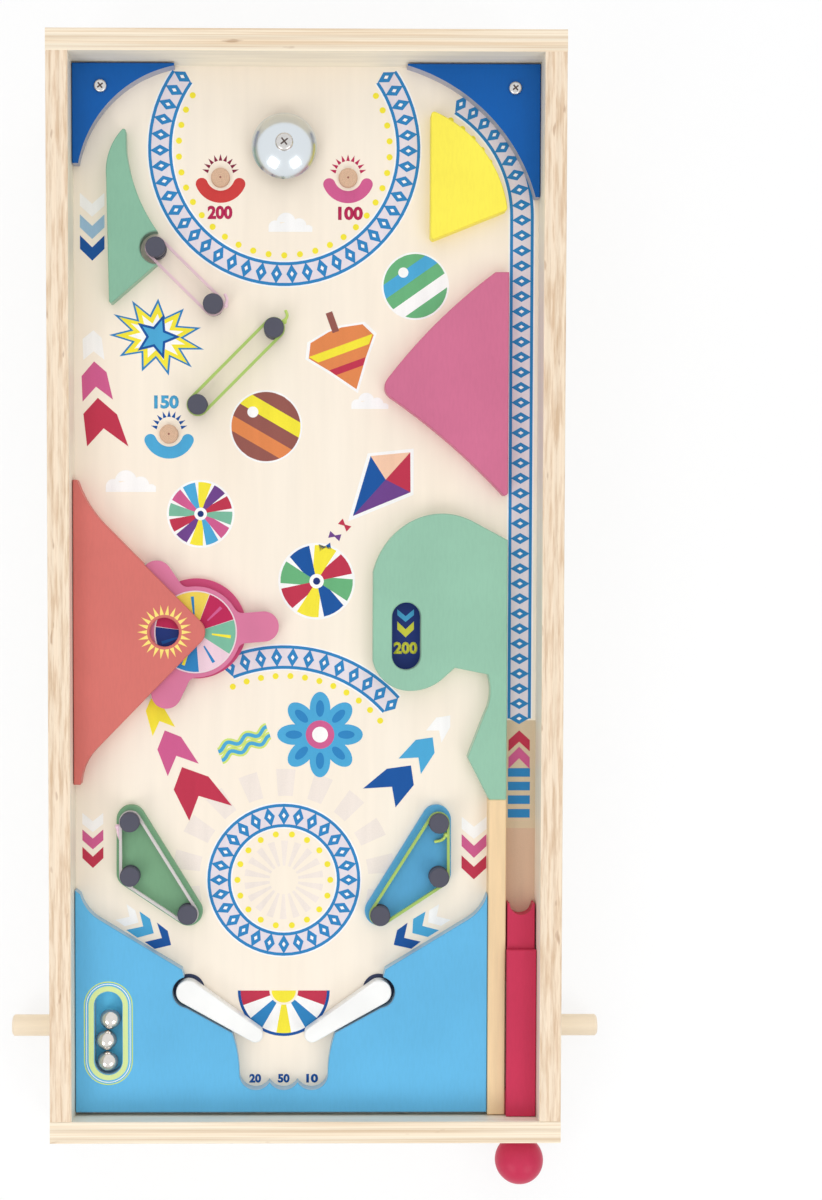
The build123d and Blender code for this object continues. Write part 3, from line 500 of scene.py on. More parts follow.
class Press:
    """Collects flat printed shapes and makes them thin closed meshes, one piece for each ink."""

    def __init__(self, label, body="table", up=0.0, slot="deck_board"):
        self.label, self.body, self.up, self.slot = label, body, up, slot
        self.meshes = {}

    def mesh(self, key):
        return self.meshes.setdefault(key, bmesh.new())

    def heights(self, level):
        return self.up - PRINT_SINK, self.up + PRINT_STEP * (level + 1)

    def shape(self, key, outline, level=0, place=(0.0, 0.0), turn=0.0, size=1.0):
        """A filled outline, turned, scaled and moved."""
        prism(self.mesh(key), placed(outline, place, turn, size), *self.heights(level))

    def strip(self, key, left, right, level=0, closed=False):
        """A band between two lines with as many points each; right lies to the right of left."""
        mesh = self.mesh(key)
        low, high = self.heights(level)
        rows = []
        for p, q in zip(left, right):
            rows.append([mesh.verts.new(corner) for corner in ((*p, high), (*q, high), (*q, low), (*p, low))])
        pairs = list(zip(rows, rows[1:] + rows[:1])) if closed else list(zip(rows, rows[1:]))
        for near, far in pairs:
            for side in range(4):
                after = (side + 1) % 4
                mesh.faces.new((near[side], near[after], far[after], far[side]))
        if not closed:
            mesh.faces.new(rows[0][::-1])
            mesh.faces.new(rows[-1])

    def ring(self, key, centre, inner, outer, start, sweep, level=0):
        """A part of a ring."""
        self.strip(key, arc(centre, inner, start, sweep), arc(centre, outer, start, sweep), level)

    def line(self, key, points, width, level=0, offset=0.0, closed=False):
        """A line of even width beside or on a path of points."""
        sides = []
        count = len(points)
        for index, point in enumerate(points):
            before = points[index - 1] if closed or index else points[0]
            after = points[(index + 1) % count] if closed or index < count - 1 else points[-1]
            dx, dy = after[0] - before[0], after[1] - before[1]
            length = math.hypot(dx, dy) or 1.0
            sides.append((point, (-dy / length, dx / length)))
        shift = [offset + width / 2, offset - width / 2]
        left, right = ([(p[0] + n[0] * d, p[1] + n[1] * d) for p, n in sides] for d in shift)
        self.strip(key, left, right, level, closed)

    def text(self, key, words, centre, height, width, level=1):
        """Bold plain figures that fill a width and a height round a place."""
        data = bpy.data.curves.new("figures", "FONT")
        data.body = words
        data.offset = BOLDNESS
        data.resolution_u = 3
        flat = plain_mesh(bpy.data.objects.new("figures", data))
        bpy.data.curves.remove(data)
        low, high = self.heights(level)
        work = bmesh.new()
        work.from_mesh(flat)
        bpy.data.meshes.remove(flat)
        bmesh.ops.remove_doubles(work, verts=work.verts, dist=1e-5)
        across = [vert.co.x for vert in work.verts]
        along = [vert.co.y for vert in work.verts]
        size = (width / (max(across) - min(across)), height / (max(along) - min(along)), 0, 1)
        middle = Matrix.Translation((-(max(across) + min(across)) / 2, -(max(along) + min(along)) / 2, 0))
        place = Matrix.Translation((*centre, low)) @ Matrix.Diagonal(size) @ middle
        bmesh.ops.transform(work, verts=work.verts, matrix=place)
        made = bmesh.ops.extrude_face_region(work, geom=list(work.faces))["geom"]
        raised = [item for item in made if isinstance(item, bmesh.types.BMVert)]
        bmesh.ops.translate(work, verts=raised, vec=(0, 0, high - low))
        bmesh.ops.recalc_face_normals(work, faces=work.faces)
        joined = bpy.data.meshes.new("figures")
        work.to_mesh(joined)
        work.free()
        self.mesh(key).from_mesh(joined)
        bpy.data.meshes.remove(joined)

    def pull(self):
        """Make the pieces and hand them to their body."""
        for key, mesh in self.meshes.items():
            piece = add_flat(f"{self.label}_{key}", mesh, ink_material(key))
            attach(piece, self.body)


# ---- Geometry node groups ----


class NodeGroup(Nodes):
    """A geometry node group with named inputs."""

    family = ""

    def __init__(self, name, inputs):
        super().__init__(bpy.data.node_groups.new(name, "GeometryNodeTree"))
        face = self.tree.interface
        face.new_socket("Geometry", in_out="INPUT", socket_type="NodeSocketGeometry")
        for label, kind, value in (*inputs, ("Material", "Material", None)):
            socket = face.new_socket(label, in_out="INPUT", socket_type="NodeSocket" + kind)
            if value is not None:
                socket.default_value = value
        face.new_socket("Geometry", in_out="OUTPUT", socket_type="NodeSocketGeometry")
        self.inputs = self.tree.nodes.new("NodeGroupInput").outputs

    def close(self, geometry):
        finished = self.first("GeometryNodeSetMaterial",
                              {"Geometry": geometry, "Material": self.inputs["Material"]})
        self.node("NodeGroupOutput", {"Geometry": finished})
        return self.tree


@functools.cache
def marks_group():
    """Marks with a chosen number of sides, spread evenly along a path on the deck."""
    group = NodeGroup(
        "Marks along a path",
        [
            ("Count", "Int", 12),
            ("Sides", "Int", 12),
            ("Turn", "Float", 0.0),
            ("Size", "Vector", (1.0, 1.0, 1.0)),
            ("Place", "Vector", None),
            ("Slope", "Float", 0.0),
        ],
    )
    given = group.inputs
    curve = group.first("GeometryNodeMeshToCurve", {"Mesh": given["Geometry"]})
    even = group.first("GeometryNodeResampleCurve", {"Curve": curve, "Count": given["Count"]})
    tangent = {"Vector": group.first("GeometryNodeInputTangent")}
    turned = group.first("FunctionNodeAlignRotationToVector", tangent, axis="X", pivot_axis="Z")
    mark = group.first("GeometryNodeMeshCylinder", {"Vertices": given["Sides"], "Radius": 1.0, "Depth": 1.0})
    angle = group.first("ShaderNodeCombineXYZ", {"Z": given["Turn"]})
    spun = group.first("GeometryNodeTransform", {"Geometry": mark, "Rotation": angle})
    sized = group.first("GeometryNodeTransform", {"Geometry": spun, "Scale": given["Size"]})
    spread = group.first("GeometryNodeInstanceOnPoints",
                         {"Points": even, "Instance": sized, "Rotation": turned})
    real = group.first("GeometryNodeRealizeInstances", {"Geometry": spread})
    tilt = group.first("ShaderNodeCombineXYZ", {"X": given["Slope"]})
    pose = {"Translation": given["Place"], "Rotation": tilt, "Scale": (MM, MM, MM)}
    return group.close(group.first("GeometryNodeTransform", {"Geometry": real, **pose}))


@functools.cache
def coil_group():
    """A coiled wire spring along Z."""
    group = NodeGroup(
        "Coil spring",
        [
            ("Turns", "Float", 8.0),
            ("Coil Radius", "Float", 5.0 * MM),
            ("Length", "Float", 30.0 * MM),
            ("Wire Radius", "Float", 0.5 * MM),
        ],
    )
    given = group.inputs
    coil = {"Start Radius": given["Coil Radius"], "End Radius": given["Coil Radius"],
            "Height": given["Length"]}
    spiral = group.first("GeometryNodeCurveSpiral", {"Resolution": 28, "Rotations": given["Turns"], **coil})
    wire = group.first("GeometryNodeCurvePrimitiveCircle", {"Resolution": 10, "Radius": given["Wire Radius"]})
    sweep = {"Curve": spiral, "Profile Curve": wire, "Fill Caps": True}
    tube = group.first("GeometryNodeCurveToMesh", sweep)
    return group.close(group.first("GeometryNodeSetShadeSmooth", {"Geometry": tube}))


def grown(name, group, host, values, material):
    """Run a node group on a host mesh and keep the plain mesh that it makes."""
    holder = bpy.data.objects.new(name + "_host", host)
    modifier = holder.modifiers.new("grow", "NODES")
    modifier.node_group = group
    named = {item.name: item.identifier for item in group.interface.items_tree if item.in_out == "INPUT"}
    for label, value in {**values, "Material": material}.items():
        modifier[named[label]] = value
    mesh = plain_mesh(holder)
    bpy.data.meshes.remove(host)
    mesh.name = name
    return add_piece(name, mesh, material)


def path_mesh(points, closed=False):
    """A host mesh of edges along a path."""
    data = bpy.data.meshes.new("path")
    edges = [(index, index + 1) for index in range(len(points) - 1)]
    if closed:
        edges.append((len(points) - 1, 0))
    data.from_pydata([(x, y, 0) for x, y in points], edges, [])
    return data


def marks(name, key, points, count, size, sides=14, turn=0.0, up=0.0, level=1, closed=False):
    """Print marks along a path; size is (along, across) from the mark's centre to its edge."""
    height = PRINT_SINK + PRINT_STEP * (level + 1)
    values = {
        "Count": count,
        "Sides": sides,
        "Turn": math.radians(turn),
        "Size": (*size, height),
        "Place": deck_matrix(up + height / 2 - PRINT_SINK).translation,
        "Slope": SLOPE,
    }
    piece = grown(name, marks_group(), path_mesh(points, closed), values, ink_material(key))
    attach(piece, "table")


# ---- Settings ----


def tint(name, description, color):
    """A colour setting, with its default as an 8-bit display colour."""
    return bpy.props.FloatVectorProperty(
        name=name, description=description, subtype="COLOR", size=4, min=0, max=1, default=linear(color)
    )


def millimetres(name, description, default, low, high):
    """A length setting, with its default and limits in millimetres."""
    return bpy.props.FloatProperty(
        name=name, description=description, default=default * MM, min=low * MM, max=high * MM, unit="LENGTH"
    )


def number(name, description, default, low, high, **kind):
    """A setting without a unit, or with one that is named."""
    return bpy.props.FloatProperty(name=name, description=description, default=default,
                                   min=low, max=high, **kind)


def whole(name, description, default, low, high):
    """A setting that is a whole number."""
    return bpy.props.IntProperty(name=name, description=description, default=default, min=low, max=high)


class PinballWood(bpy.types.PropertyGroup):
    """Settings of the wooden pieces."""

    layer_count: whole("Layers", "Number of layers in a board", 5, 3, 9)
    layer_contrast: number("Grain", "How strongly the grain shows on the rims", 0.7, 0, 1, subtype="FACTOR")
    end_rim: tint("End Rims", "Top edges of the front and the rear board", (247, 234, 213))
    side_rim: tint("Side Rims", "Top edges of the side boards", (243, 225, 202))
    veneer: tint("Veneer", "Upright faces of the boards", (247, 238, 220))
    divider: tint("Divider", "Strip between field and lane", (240, 209, 164))
    push_rods: tint("Push Rods", "Wood of the two push rods", (245, 227, 201))


class PinballPaints(bpy.types.PropertyGroup):
    """Colours of the painted and moulded pieces."""

    deck: tint("Deck", "Ground colour of the playing deck", (247, 235, 218))
    corners: tint("Corners", "The two corner blocks", (2, 89, 168))
    fin: tint("Fin", "The fin at the left", (137, 184, 158))
    wedge: tint("Wedge", "The wedge at the right", (255, 237, 84))
    big_block: tint("Big Block", "The big block beside the lane", (206, 111, 144))
    slot_block: tint("Slot Block", "The block with the ball slot in the middle", (149, 195, 170))
    housing: tint("Housing", "Cover and housing of the paddle wheel", (211, 114, 106))
    apron: tint("Apron", "Panel round the drain", (98, 180, 224))
    left_plate: tint("Left Plate", "Plate under the left bumper", (119, 164, 127))
    right_plate: tint("Right Plate", "Plate under the right bumper", (86, 162, 206))
    plunger: tint("Plunger", "Striker, cover and knob", (198, 50, 84))
    posts: tint("Posts", "Bumper posts", (82, 82, 95))
    flippers: tint("Flippers", "The two flippers", (244, 244, 242))
    wheel: tint("Wheel", "Paddles of the wheel", (213, 119, 154))
    wheel_base: tint("Wheel Base", "Disc under the wheel", (204, 76, 122))


class PinballPrints(bpy.types.PropertyGroup):
    """Settings of the printed deck."""

    ring_radius: millimetres("Bell Ring", "Radius of the open ring round the bell", 68.0, 58, 70)
    target_radius: millimetres("Target Ring", "Radius of the ring between the bumpers", 36.0, 25, 38)
    band_width: millimetres("Band", "Width of the printed bands", 13.0, 8, 16)
    edge_width: millimetres("Band Edge", "Width of the blue lines along the bands", 1.7, 0.8, 3)
    mark_pitch: millimetres("Mark Pitch", "Distance from mark to mark in a band", 8.2, 6, 20)
    ray_count: whole("Window Rays", "Number of rays round the window", 22, 8, 40)


class PinballSprings(bpy.types.PropertyGroup):
    """Settings of the coiled springs."""

    rod_turns: number("Rod Turns", "Turns of each push rod's spring", 9.0, 3, 20)
    plunger_turns: number("Plunger Turns", "Turns of the plunger's spring", 17.0, 5, 40)
    wire_radius: millimetres("Wire", "Radius of the wire", 0.5, 0.2, 0.8)


class PinballStudio(bpy.types.PropertyGroup):
    """Settings of the lights and the camera."""

    key_power: number("Soft Boxes", "Power that each soft box takes a share of", 11.0, 0, 1000, unit="POWER")
    world_strength: number("Surroundings", "Strength of the even light from all round", 0.49, 0, 5)
    lens: number("Lens", "Focal length of the camera in millimetres", 57.72, 20, 200)


# ---- Pieces ----


class Step:
    """What all steps share."""

    bl_options = {"REGISTER", "UNDO"}


class PINBALL_OT_frame(Step, bpy.types.Operator):
    """Finish the boards, the divider, the dowels and the feet"""

    bl_idname = "pinball.frame"
    bl_label = "Finish Frame"

    def execute(self, context):
        wood = context.scene.pinball_wood
        for name in ("front_board", "rear_board", "left_side_board", "right_side_board"):
            dress(layered_board(name, wood), name)
        dress(grain("Divider pine", wood.divider, (230, 8, 230), 0.14), "lane_divider")
        dowel = grain("Dowel beech", (226, 200, 164), (400, 30, 400))
        dress(dowel, "frame_dowels", "left_rod_guide", "right_rod_guide")
        dress(plastic("Foot rubber", (70, 70, 74), 0.7), "rubber_feet")
        return {"FINISHED"}


class PINBALL_OT_deck(Step, bpy.types.Operator):
    """Finish the deck and the painted blocks"""

    bl_idname = "pinball.deck"
    bl_label = "Finish Deck and Blocks"

    def execute(self, context):
        paints = context.scene.pinball_paints
        dress(printed_board("Deck board", paints.deck), "playfield_deck")
        dress(paint("Corner paint", paints.corners, 0.45, 0.5), "corner_block_left", "corner_block_right")
        dress(paint("Fin paint", paints.fin, 0.45, 0.15), "fin_block")
        dress(paint("Wedge paint", paints.wedge), "yellow_wedge")
        dress(paint("Big block paint", paints.big_block), "pink_block")
        dress(paint("Slot block paint", paints.slot_block, 0.45, 0.25), "mint_block")
        dress(paint("Housing paint", paints.housing), "wheel_housing", "wheel_cover")
        dress(paint("Apron paint", paints.apron, 0.45, 0.4), "apron_panel")
        dress(paint("Left plate paint", paints.left_plate), "bumper_plate_left")
        dress(paint("Right plate paint", paints.right_plate), "bumper_plate_right")
        dress(paint("Plunger paint", paints.plunger, 0.38),
              "plunger_striker", "plunger_cover", "plunger_knob")
        return {"FINISHED"}


# Knots of the elastic bands: name, colour, slot, and the loose end's points as (across, along, lift)
KNOTS = (
    ("left", (238, 206, 222), "band_clear",
     ((-103.6, -129.4, 0.0), (-103.2, -133.6, -0.4), (-102.2, -137.0, -2.0))),
    ("right", (190, 216, 110), "band_lime",
     ((77.6, -133.8, 0.2), (75.6, -136.6, -0.8), (71.4, -138.0, -2.0))),
    ("pink", (240, 206, 218), "band_pink",
     ((-43.9, 156.2, 0.0), (-43.2, 159.6, -0.6), (-44.4, 162.6, -2.0))),
    ("lime", (190, 216, 110), "band_lime",
     ((-12.0, 147.6, 0.0), (-10.4, 150.8, -0.8), (-11.2, 153.8, -2.2))),
)


class PINBALL_OT_fittings(Step, bpy.types.Operator):
    """Finish posts, bands, pegs, screws, bell and balls"""

    bl_idname = "pinball.fittings"
    bl_label = "Finish Fittings"

    def execute(self, context):
        paints = context.scene.pinball_paints
        dress(plastic("Post slate", paints.posts, 0.5, shine=0.3), "bumper_posts")
        dress(plastic("Clear band", (240, 232, 232), 0.35, 0.4), "left_bumper_band")
        dress(plastic("Pink band", (238, 208, 218), 0.35, 0.4), "upper_band_pink")
        dress(plastic("Lime band", (182, 212, 112), 0.4, 0.25), "upper_band_green", "right_bumper_band")
        dress(end_grain("Peg end grain", (214, 176, 146), PEGS), "score_pegs")
        dress(metal("Nickel gong", (222, 229, 234), 0.13, 0.03, BELL), "bell_gong")
        dress(metal("Ground steel", (190, 190, 194), 0.3), "bell_post", "wheel_axle", "plunger_rod")
        dress(metal("Screw zinc", (214, 212, 210), 0.22), "bell_screw", "corner_screws")
        dress(metal("Ball steel", (226, 221, 216), 0.06, 0.01),
              "steel_ball_1", "steel_ball_2", "steel_ball_3")
        self.recesses()
        self.knots()
        return {"FINISHED"}

    def recesses(self):
        """Dark crosses on the screw heads as painted shade of their recesses, and the small mark in each peg.
        """
        work = bmesh.new()
        # Each cross is a thin dark sliver on the head, painted shade where the recess would be; no hole is
        # cut.
        for place, up, reach in (*[(spot, SCREW_TOP, 1.9) for spot in SCREWS], (BELL, BELL_SCREW_TOP, 2.4)):
            bar = rectangle((-reach, -RECESS_HALF), (reach, RECESS_HALF))
            for turn, lift in ((38, 0.02), (128, 0.03)):
                prism(work, placed(bar, place, turn), up - RECESS_DEPTH, up + lift)
        piece = add_flat("screw_recess_shade", work, metal("Recess shade", (96, 84, 80), 0.5))
        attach(piece, "table")
        dots = Press("peg_mark", up=PEG_TOP, slot="peg_wood")
        for place in PEGS:
            dots.shape("brown", circle(place, PEG_DOT, 12))
        dots.pull()

    def knots(self):
        """Knots where the elastic bands are tied."""
        for label, color, slot, points in KNOTS:
            name = "knot_" + label
            data = bpy.data.curves.new(name, "CURVE")
            data.dimensions = "3D"
            data.bevel_depth = CORD_RADIUS
            data.bevel_resolution = 3
            data.resolution_u = 6
            data.use_fill_caps = True
            spline = data.splines.new("BEZIER")
            spline.bezier_points.add(len(points) - 1)
            for bead, (across, along, lift) in zip(spline.bezier_points, points):
                bead.co = (across, along, BAND_UP + lift)
                bead.handle_left_type = bead.handle_right_type = "AUTO"
            knot = Matrix.Translation(spline.bezier_points[0].co)
            flat = plain_mesh(bpy.data.objects.new(name, data))
            bpy.data.curves.remove(data)
            work = bmesh.new()
            work.from_mesh(flat)
            bpy.data.meshes.remove(flat)
            bmesh.ops.create_icosphere(work, subdivisions=3, radius=KNOT_RADIUS, matrix=knot)
            for face in work.faces:
                face.smooth = True
            piece = add_flat(name, work, plastic("Knot " + label, color, 0.4))
            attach(piece, "table")


# Sectors of the dial, each with its stripe
DIAL = (
    ("crimson", "pink"),
    ("lemon", "blue"),
    ("crimson", "wine"),
    ("navy", "royal"),
    ("blue", "yellow"),
    ("rose", "blue"),
    ("mint", "yellow"),
)


class PINBALL_OT_wheel(Step, bpy.types.Operator):
    """Finish the paddle wheel, its printed dial and the rays round the window"""

    bl_idname = "pinball.wheel"
    bl_label = "Finish Paddle Wheel"

    def execute(self, context):
        paints = context.scene.pinball_paints
        dress(plastic("Wheel plastic", paints.wheel, 0.3, shine=0.35), "score_wheel")
        dress(plastic("Base plastic", paints.wheel_base, 0.3, shine=0.35), "wheel_base")
        dress(plastic("Dial board", (236, 214, 220), 0.45), "wheel_dial")
        press = Press("dial_print", "wheel", DIAL_TOP, "dial_print")
        share = 360 / len(DIAL)
        for index, (key, stripe) in enumerate(DIAL):
            start = 18 + share * index
            press.ring(key, WHEEL, 3.6, 22.0, start + 0.4, share - 0.8)
            press.ring(stripe, WHEEL, 9.0, 19.5, start + share / 2 - 2.6, 5.2, 1)
        press.pull()
        rays = context.scene.pinball_prints.ray_count
        path = circle(WINDOW, RAY_RING, rays)
        marks("window_rays", "cream", path, rays, RAY_SIZE, 3, -90, COVER_TOP, closed=True)
        return {"FINISHED"}


class PINBALL_OT_flippers(Step, bpy.types.Operator):
    """Finish the flippers, their linkage, the push rods and the springs"""

    bl_idname = "pinball.flippers"
    bl_label = "Finish Flippers"

    def execute(self, context):
        scene = context.scene
        springs = scene.pinball_springs
        white = plastic("Flipper plastic", scene.pinball_paints.flippers, 0.28, shine=0.35)
        dress(white, "left_flipper", "right_flipper")
        dress(plastic("Bushing dark", (44, 54, 84), 0.5), "flipper_bushings")
        black = plastic("Lever black", (48, 48, 52), 0.45)
        dress(black, "left_flipper_lever", "left_rod_collar", "right_flipper_lever", "right_rod_collar")
        dress(metal("Shaft steel", (188, 188, 192), 0.3), "left_flipper_shaft", "right_flipper_shaft")
        beech = grain("Push rod beech", scene.pinball_wood.push_rods, (26, 300, 300), 0.08, 0.45)
        dress(beech, "left_push_rod", "right_push_rod")
        wire = metal("Spring wire", (176, 178, 184), 0.28)
        for side, turn in (("left", 1), ("right", -1)):
            low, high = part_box(f"{side}_rod_spring")
            middle = (low + high) / 2
            outer = Vector((low.x if turn > 0 else high.x, middle.y, middle.z))
            place = Matrix.Translation(outer) @ Matrix.Rotation(turn * math.pi / 2, 4, "Y")
            size = (springs.rod_turns, (high.y - low.y) / 2, high.x - low.x, springs.wire_radius)
            coil = self.coil(f"{side}_rod_coil", size, place, wire)
            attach(coil, f"{side}_rod")
            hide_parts(f"{side}_rod_spring")
            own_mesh(coil)
        self.plunger(springs, wire)
        return {"FINISHED"}

    def plunger(self, springs, wire):
        """The plunger's spring, an even coil laid along the deck's slope between its two seats."""
        low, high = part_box("plunger_spring")
        radius = (high.x - low.x) / 2
        front = Vector(((low.x + high.x) / 2, low.y + SEAT_GAP * MM, low.z + radius))
        length = (high.y - low.y - 2 * SEAT_GAP * MM) / math.cos(SLOPE)
        size = (springs.plunger_turns, radius, length, springs.wire_radius)
        place = Matrix.Translation(front) @ Matrix.Rotation(SLOPE - math.pi / 2, 4, "X")
        coil = self.coil("plunger_coil", size, place, wire)
        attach(coil, "plunger")
        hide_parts("plunger_spring")
        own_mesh(coil)

    def coil(self, name, size, place, material):
        """A coiled spring; size is its turns, outer radius, length and wire radius."""
        turns, radius, length, wire = size
        host = bpy.data.meshes.new(name)
        host.from_pydata([(0, 0, 0)], [], [])
        values = {"Turns": turns, "Coil Radius": radius - wire,
                  "Length": length - 2 * wire, "Wire Radius": wire}
        made = grown(name, coil_group(), host, values, material)
        made.data.transform(place @ Matrix.Translation((0, 0, wire)))
        return made


# Arrows: ink and outline
ARROWS = (
    ("white", ((-116.7, 143.5), (-112.2, 139.4), (-110.7, 127.4),
               (-116.7, 132.0), (-122.3, 127.3), (-122.7, 138.8))),
    ("pink", ((-116.4, 126.5), (-109.6, 120.6), (-106.1, 105.6),
              (-115.4, 112.7), (-122.8, 104.5), (-123.3, 118.4))),
    ("red", ((-114.4, 106.6), (-103.9, 97.5), (-97.7, 80.0),
             (-111.3, 89.9), (-120.4, 80.0), (-122.4, 97.8))),
    ("yellow", ((-85.6, -58.9), (-78.7, -63.8), (-72.3, -74.8),
                (-80.9, -71.5), (-84.7, -79.9), (-88.5, -65.8))),
    ("pink", ((-78.0, -76.7), (-69.0, -80.3), (-59.2, -95.2),
              (-71.6, -90.8), (-76.4, -102.1), (-82.1, -87.3))),
    ("red", ((-68.5, -97.1), (-53.8, -102.4), (-40.8, -118.6),
             (-59.3, -113.1), (-64.5, -126.9), (-73.1, -109.6))),
    ("royal", ((58.5, -96.1), (60.1, -107.0), (50.0, -119.5),
               (48.0, -108.0), (31.9, -109.0), (45.1, -98.0))),
    ("sky", ((70.5, -80.5), (71.6, -89.1), (64.0, -100.9),
             (62.6, -91.7), (51.6, -92.3), (61.1, -81.9))),
    ("white", ((80.2, -68.3), (80.2, -74.7), (75.4, -83.4),
               (74.0, -76.7), (66.8, -76.7), (72.5, -69.5))),
    ("sky", ((-84.3, -189.8), (-93.4, -192.3), (-99.6, -188.0),
             (-90.2, -186.0), (-92.2, -177.6), (-86.4, -181.7))),
    ("white", ((-92.8, -183.8), (-100.4, -185.9), (-105.6, -182.3),
               (-97.8, -180.6), (-99.4, -173.5), (-94.6, -177.0))),
    ("royal", ((-74.7, -196.4), (-83.8, -198.6), (-89.3, -194.7),
               (-79.8, -192.5), (-82.6, -183.8), (-76.6, -188.5))),
    ("sky", ((59.6, -189.8), (68.2, -192.0), (74.4, -188.2),
             (65.1, -185.8), (66.9, -177.7), (60.0, -181.9))),
    ("white", ((68.4, -183.8), (75.6, -185.7), (80.8, -182.4),
               (73.0, -180.4), (74.5, -173.6), (68.8, -177.1))),
    ("royal", ((49.2, -196.4), (59.1, -198.6), (64.2, -194.6),
               (55.0, -192.5), (56.9, -184.0), (51.1, -188.2))),
)
# Chevrons: ink, place of the tip, half width, arm, thickness, and 1 for up or -1 for down
CHEVRONS = (
    ("white", (-117.2, 205.3), 6.7, 6.0, 7.0, -1),
    ("pale_blue", (-117.2, 193.2), 6.7, 6.3, 7.1, -1),
    ("royal", (-117.2, 181.4), 6.7, 6.5, 7.3, -1),
    ("white", (-118.0, -133.3), 5.8, 4.6, 6.1, -1),
    ("pink", (-118.0, -142.9), 5.8, 5.1, 6.0, -1),
    ("red", (-118.0, -153.3), 5.8, 5.5, 6.3, -1),
    ("white", (93.7, -137.1), 6.9, 5.6, 6.8, -1),
    ("pink", (93.7, -147.7), 6.9, 6.6, 6.7, -1),
    ("red", (93.7, -159.7), 6.9, 6.4, 7.0, -1),
    ("red", (118.5, -76.6), 5.9, 5.4, 6.3, 1),
    ("pink", (118.5, -85.7), 5.9, 5.9, 6.4, 1),
)


class PINBALL_OT_marks(Step, bpy.types.Operator):
    """Print the arrows, chevrons, numbers, arcs and clouds"""

    bl_idname = "pinball.marks"
    bl_label = "Print Marks"

    def execute(self, context):
        press = Press("deck_mark")
        for key, outline in ARROWS:
            press.shape(key, outline, 2)
        for key, tip, half, arm, thick, way in CHEVRONS:
            self.chevron(press, key, tip, half, arm, thick, way)
        for (across, along), key, words, spot in (
            (PEGS[0], "scarlet", "200", (-47.2, 207.8)),
            (PEGS[1], "pink", "100", (24.3, 207.5)),
            (PEGS[2], "sky", "150", (-76.7, 104.4)),
        ):
            self.smile(press, (across, along + 1.0), key)
            press.text("sky" if key == "sky" else "crimson", words, spot, 7.4, 13.6)
        for words, across in (("20", -27.9), ("50", FIELD_AXIS), ("10", 3.9)):
            press.text("royal", words, (across, -271.4), 5.0, 6.6)
        for place, size in (((-10, 200), 1.0), ((34, 103), 0.85), ((-98, 58), 1.15)):
            self.cloud(press, place, size)
        left, right = LANE
        # Lane floor: bare board tones that also carry painted shade from the lane's walls, darker toward the
        # plunger.
        press.shape("sand", rectangle((left, -131.0), (right, -71.0)))
        press.shape("tan", rectangle((left, -178.0), (right, -131.0)))
        for along in (-100.0, -107.6, -115.2, -122.8):
            press.shape("blue", rectangle((112.4, along - 2.4), (124.6, along + 2.4)), 1)
        press.pull()
        for index, ((across, along), key) in enumerate(zip(PEGS, ("wine", "crimson", "royal"))):
            path = arc((across, along + 2.9), 7.8, 8, 164)
            marks(f"peg_ticks_{index + 1}", key, path, 9, (1.15, 2.4), 3, -90)
        self.slots()
        return {"FINISHED"}

    def chevron(self, press, key, tip, half, arm, thick, way):
        outline = [(0, 0), (half, -arm), (half, -arm - thick),
                   (0, -thick), (-half, -arm - thick), (-half, -arm)]
        press.shape(key, [(x, way * y) for x, y in outline], 2, tip)

    def smile(self, press, place, key):
        press.ring(key, place, 7.8, 14.4, 202, 136, 1)
        for angle, start in ((202, 22), (338, 338)):
            end = arc(place, 11.1, angle, 1, 2)[0]
            press.shape(key, arc(end, 3.3, start, 180, 16), 1)

    def cloud(self, press, place, size):
        for index, (x, y, radius) in enumerate(((-7, 0, 3.6), (-1, 2.6, 5.2),
                                                (6, 0.6, 4.2), (11, -1.2, 2.4))):
            press.shape("white", arc((x, y), radius, 0, 180, 16), index % 2, place, 0, size)
        base = [(-10.6, 0), (-10.6, -2.6), (13.4, -2.6), (13.4, 0.2), (0, 3.0)]
        press.shape("white", base, 2, place, 0, size)

    def slots(self):
        """Rings round the ball slot, the slots' floors and the mint slot's number."""
        rings = Press("slot_ring", up=BLOCK_TOP, slot="sky_paint")
        for key, inner, outer in (("pale_lime", 8.0, 10.9), ("white", 11.8, 12.2), ("lime", 12.9, 13.5)):
            straight = 15.35
            near, far = [], []
            for radius, out in ((inner, near), (outer, far)):
                for middle, start in ((straight, 0), (-straight, 180)):
                    out.extend(arc((BALL_SLOT[0], BALL_SLOT[1] + middle), radius, start, 180, 26))
            rings.strip(key, near, far, 0, True)
        rings.pull()
        floor = Press("slot_floor")
        floor.shape("slot_blue", rectangle((-8.4, -25), (8.4, 25)), 3, BALL_SLOT)
        floor.shape("navy", rectangle((-8.8, -20), (8.8, 20)), 3, MINT_SLOT)
        for key, tip, arm, thick in (("sky", 7.6, 3.8, 3.2), ("citrus", -0.9, 4.4, 4.4)):
            outline = [(0, 0), (4.6, arm), (4.6, arm + thick), (0, thick), (-4.6, arm + thick), (-4.6, arm)]
            floor.shape(key, outline, 4, (MINT_SLOT[0], MINT_SLOT[1] + tip))
        floor.text("citrus", "200", (MINT_SLOT[0], MINT_SLOT[1] - 6.8), 6.8, 13.2, 4)
        floor.pull()


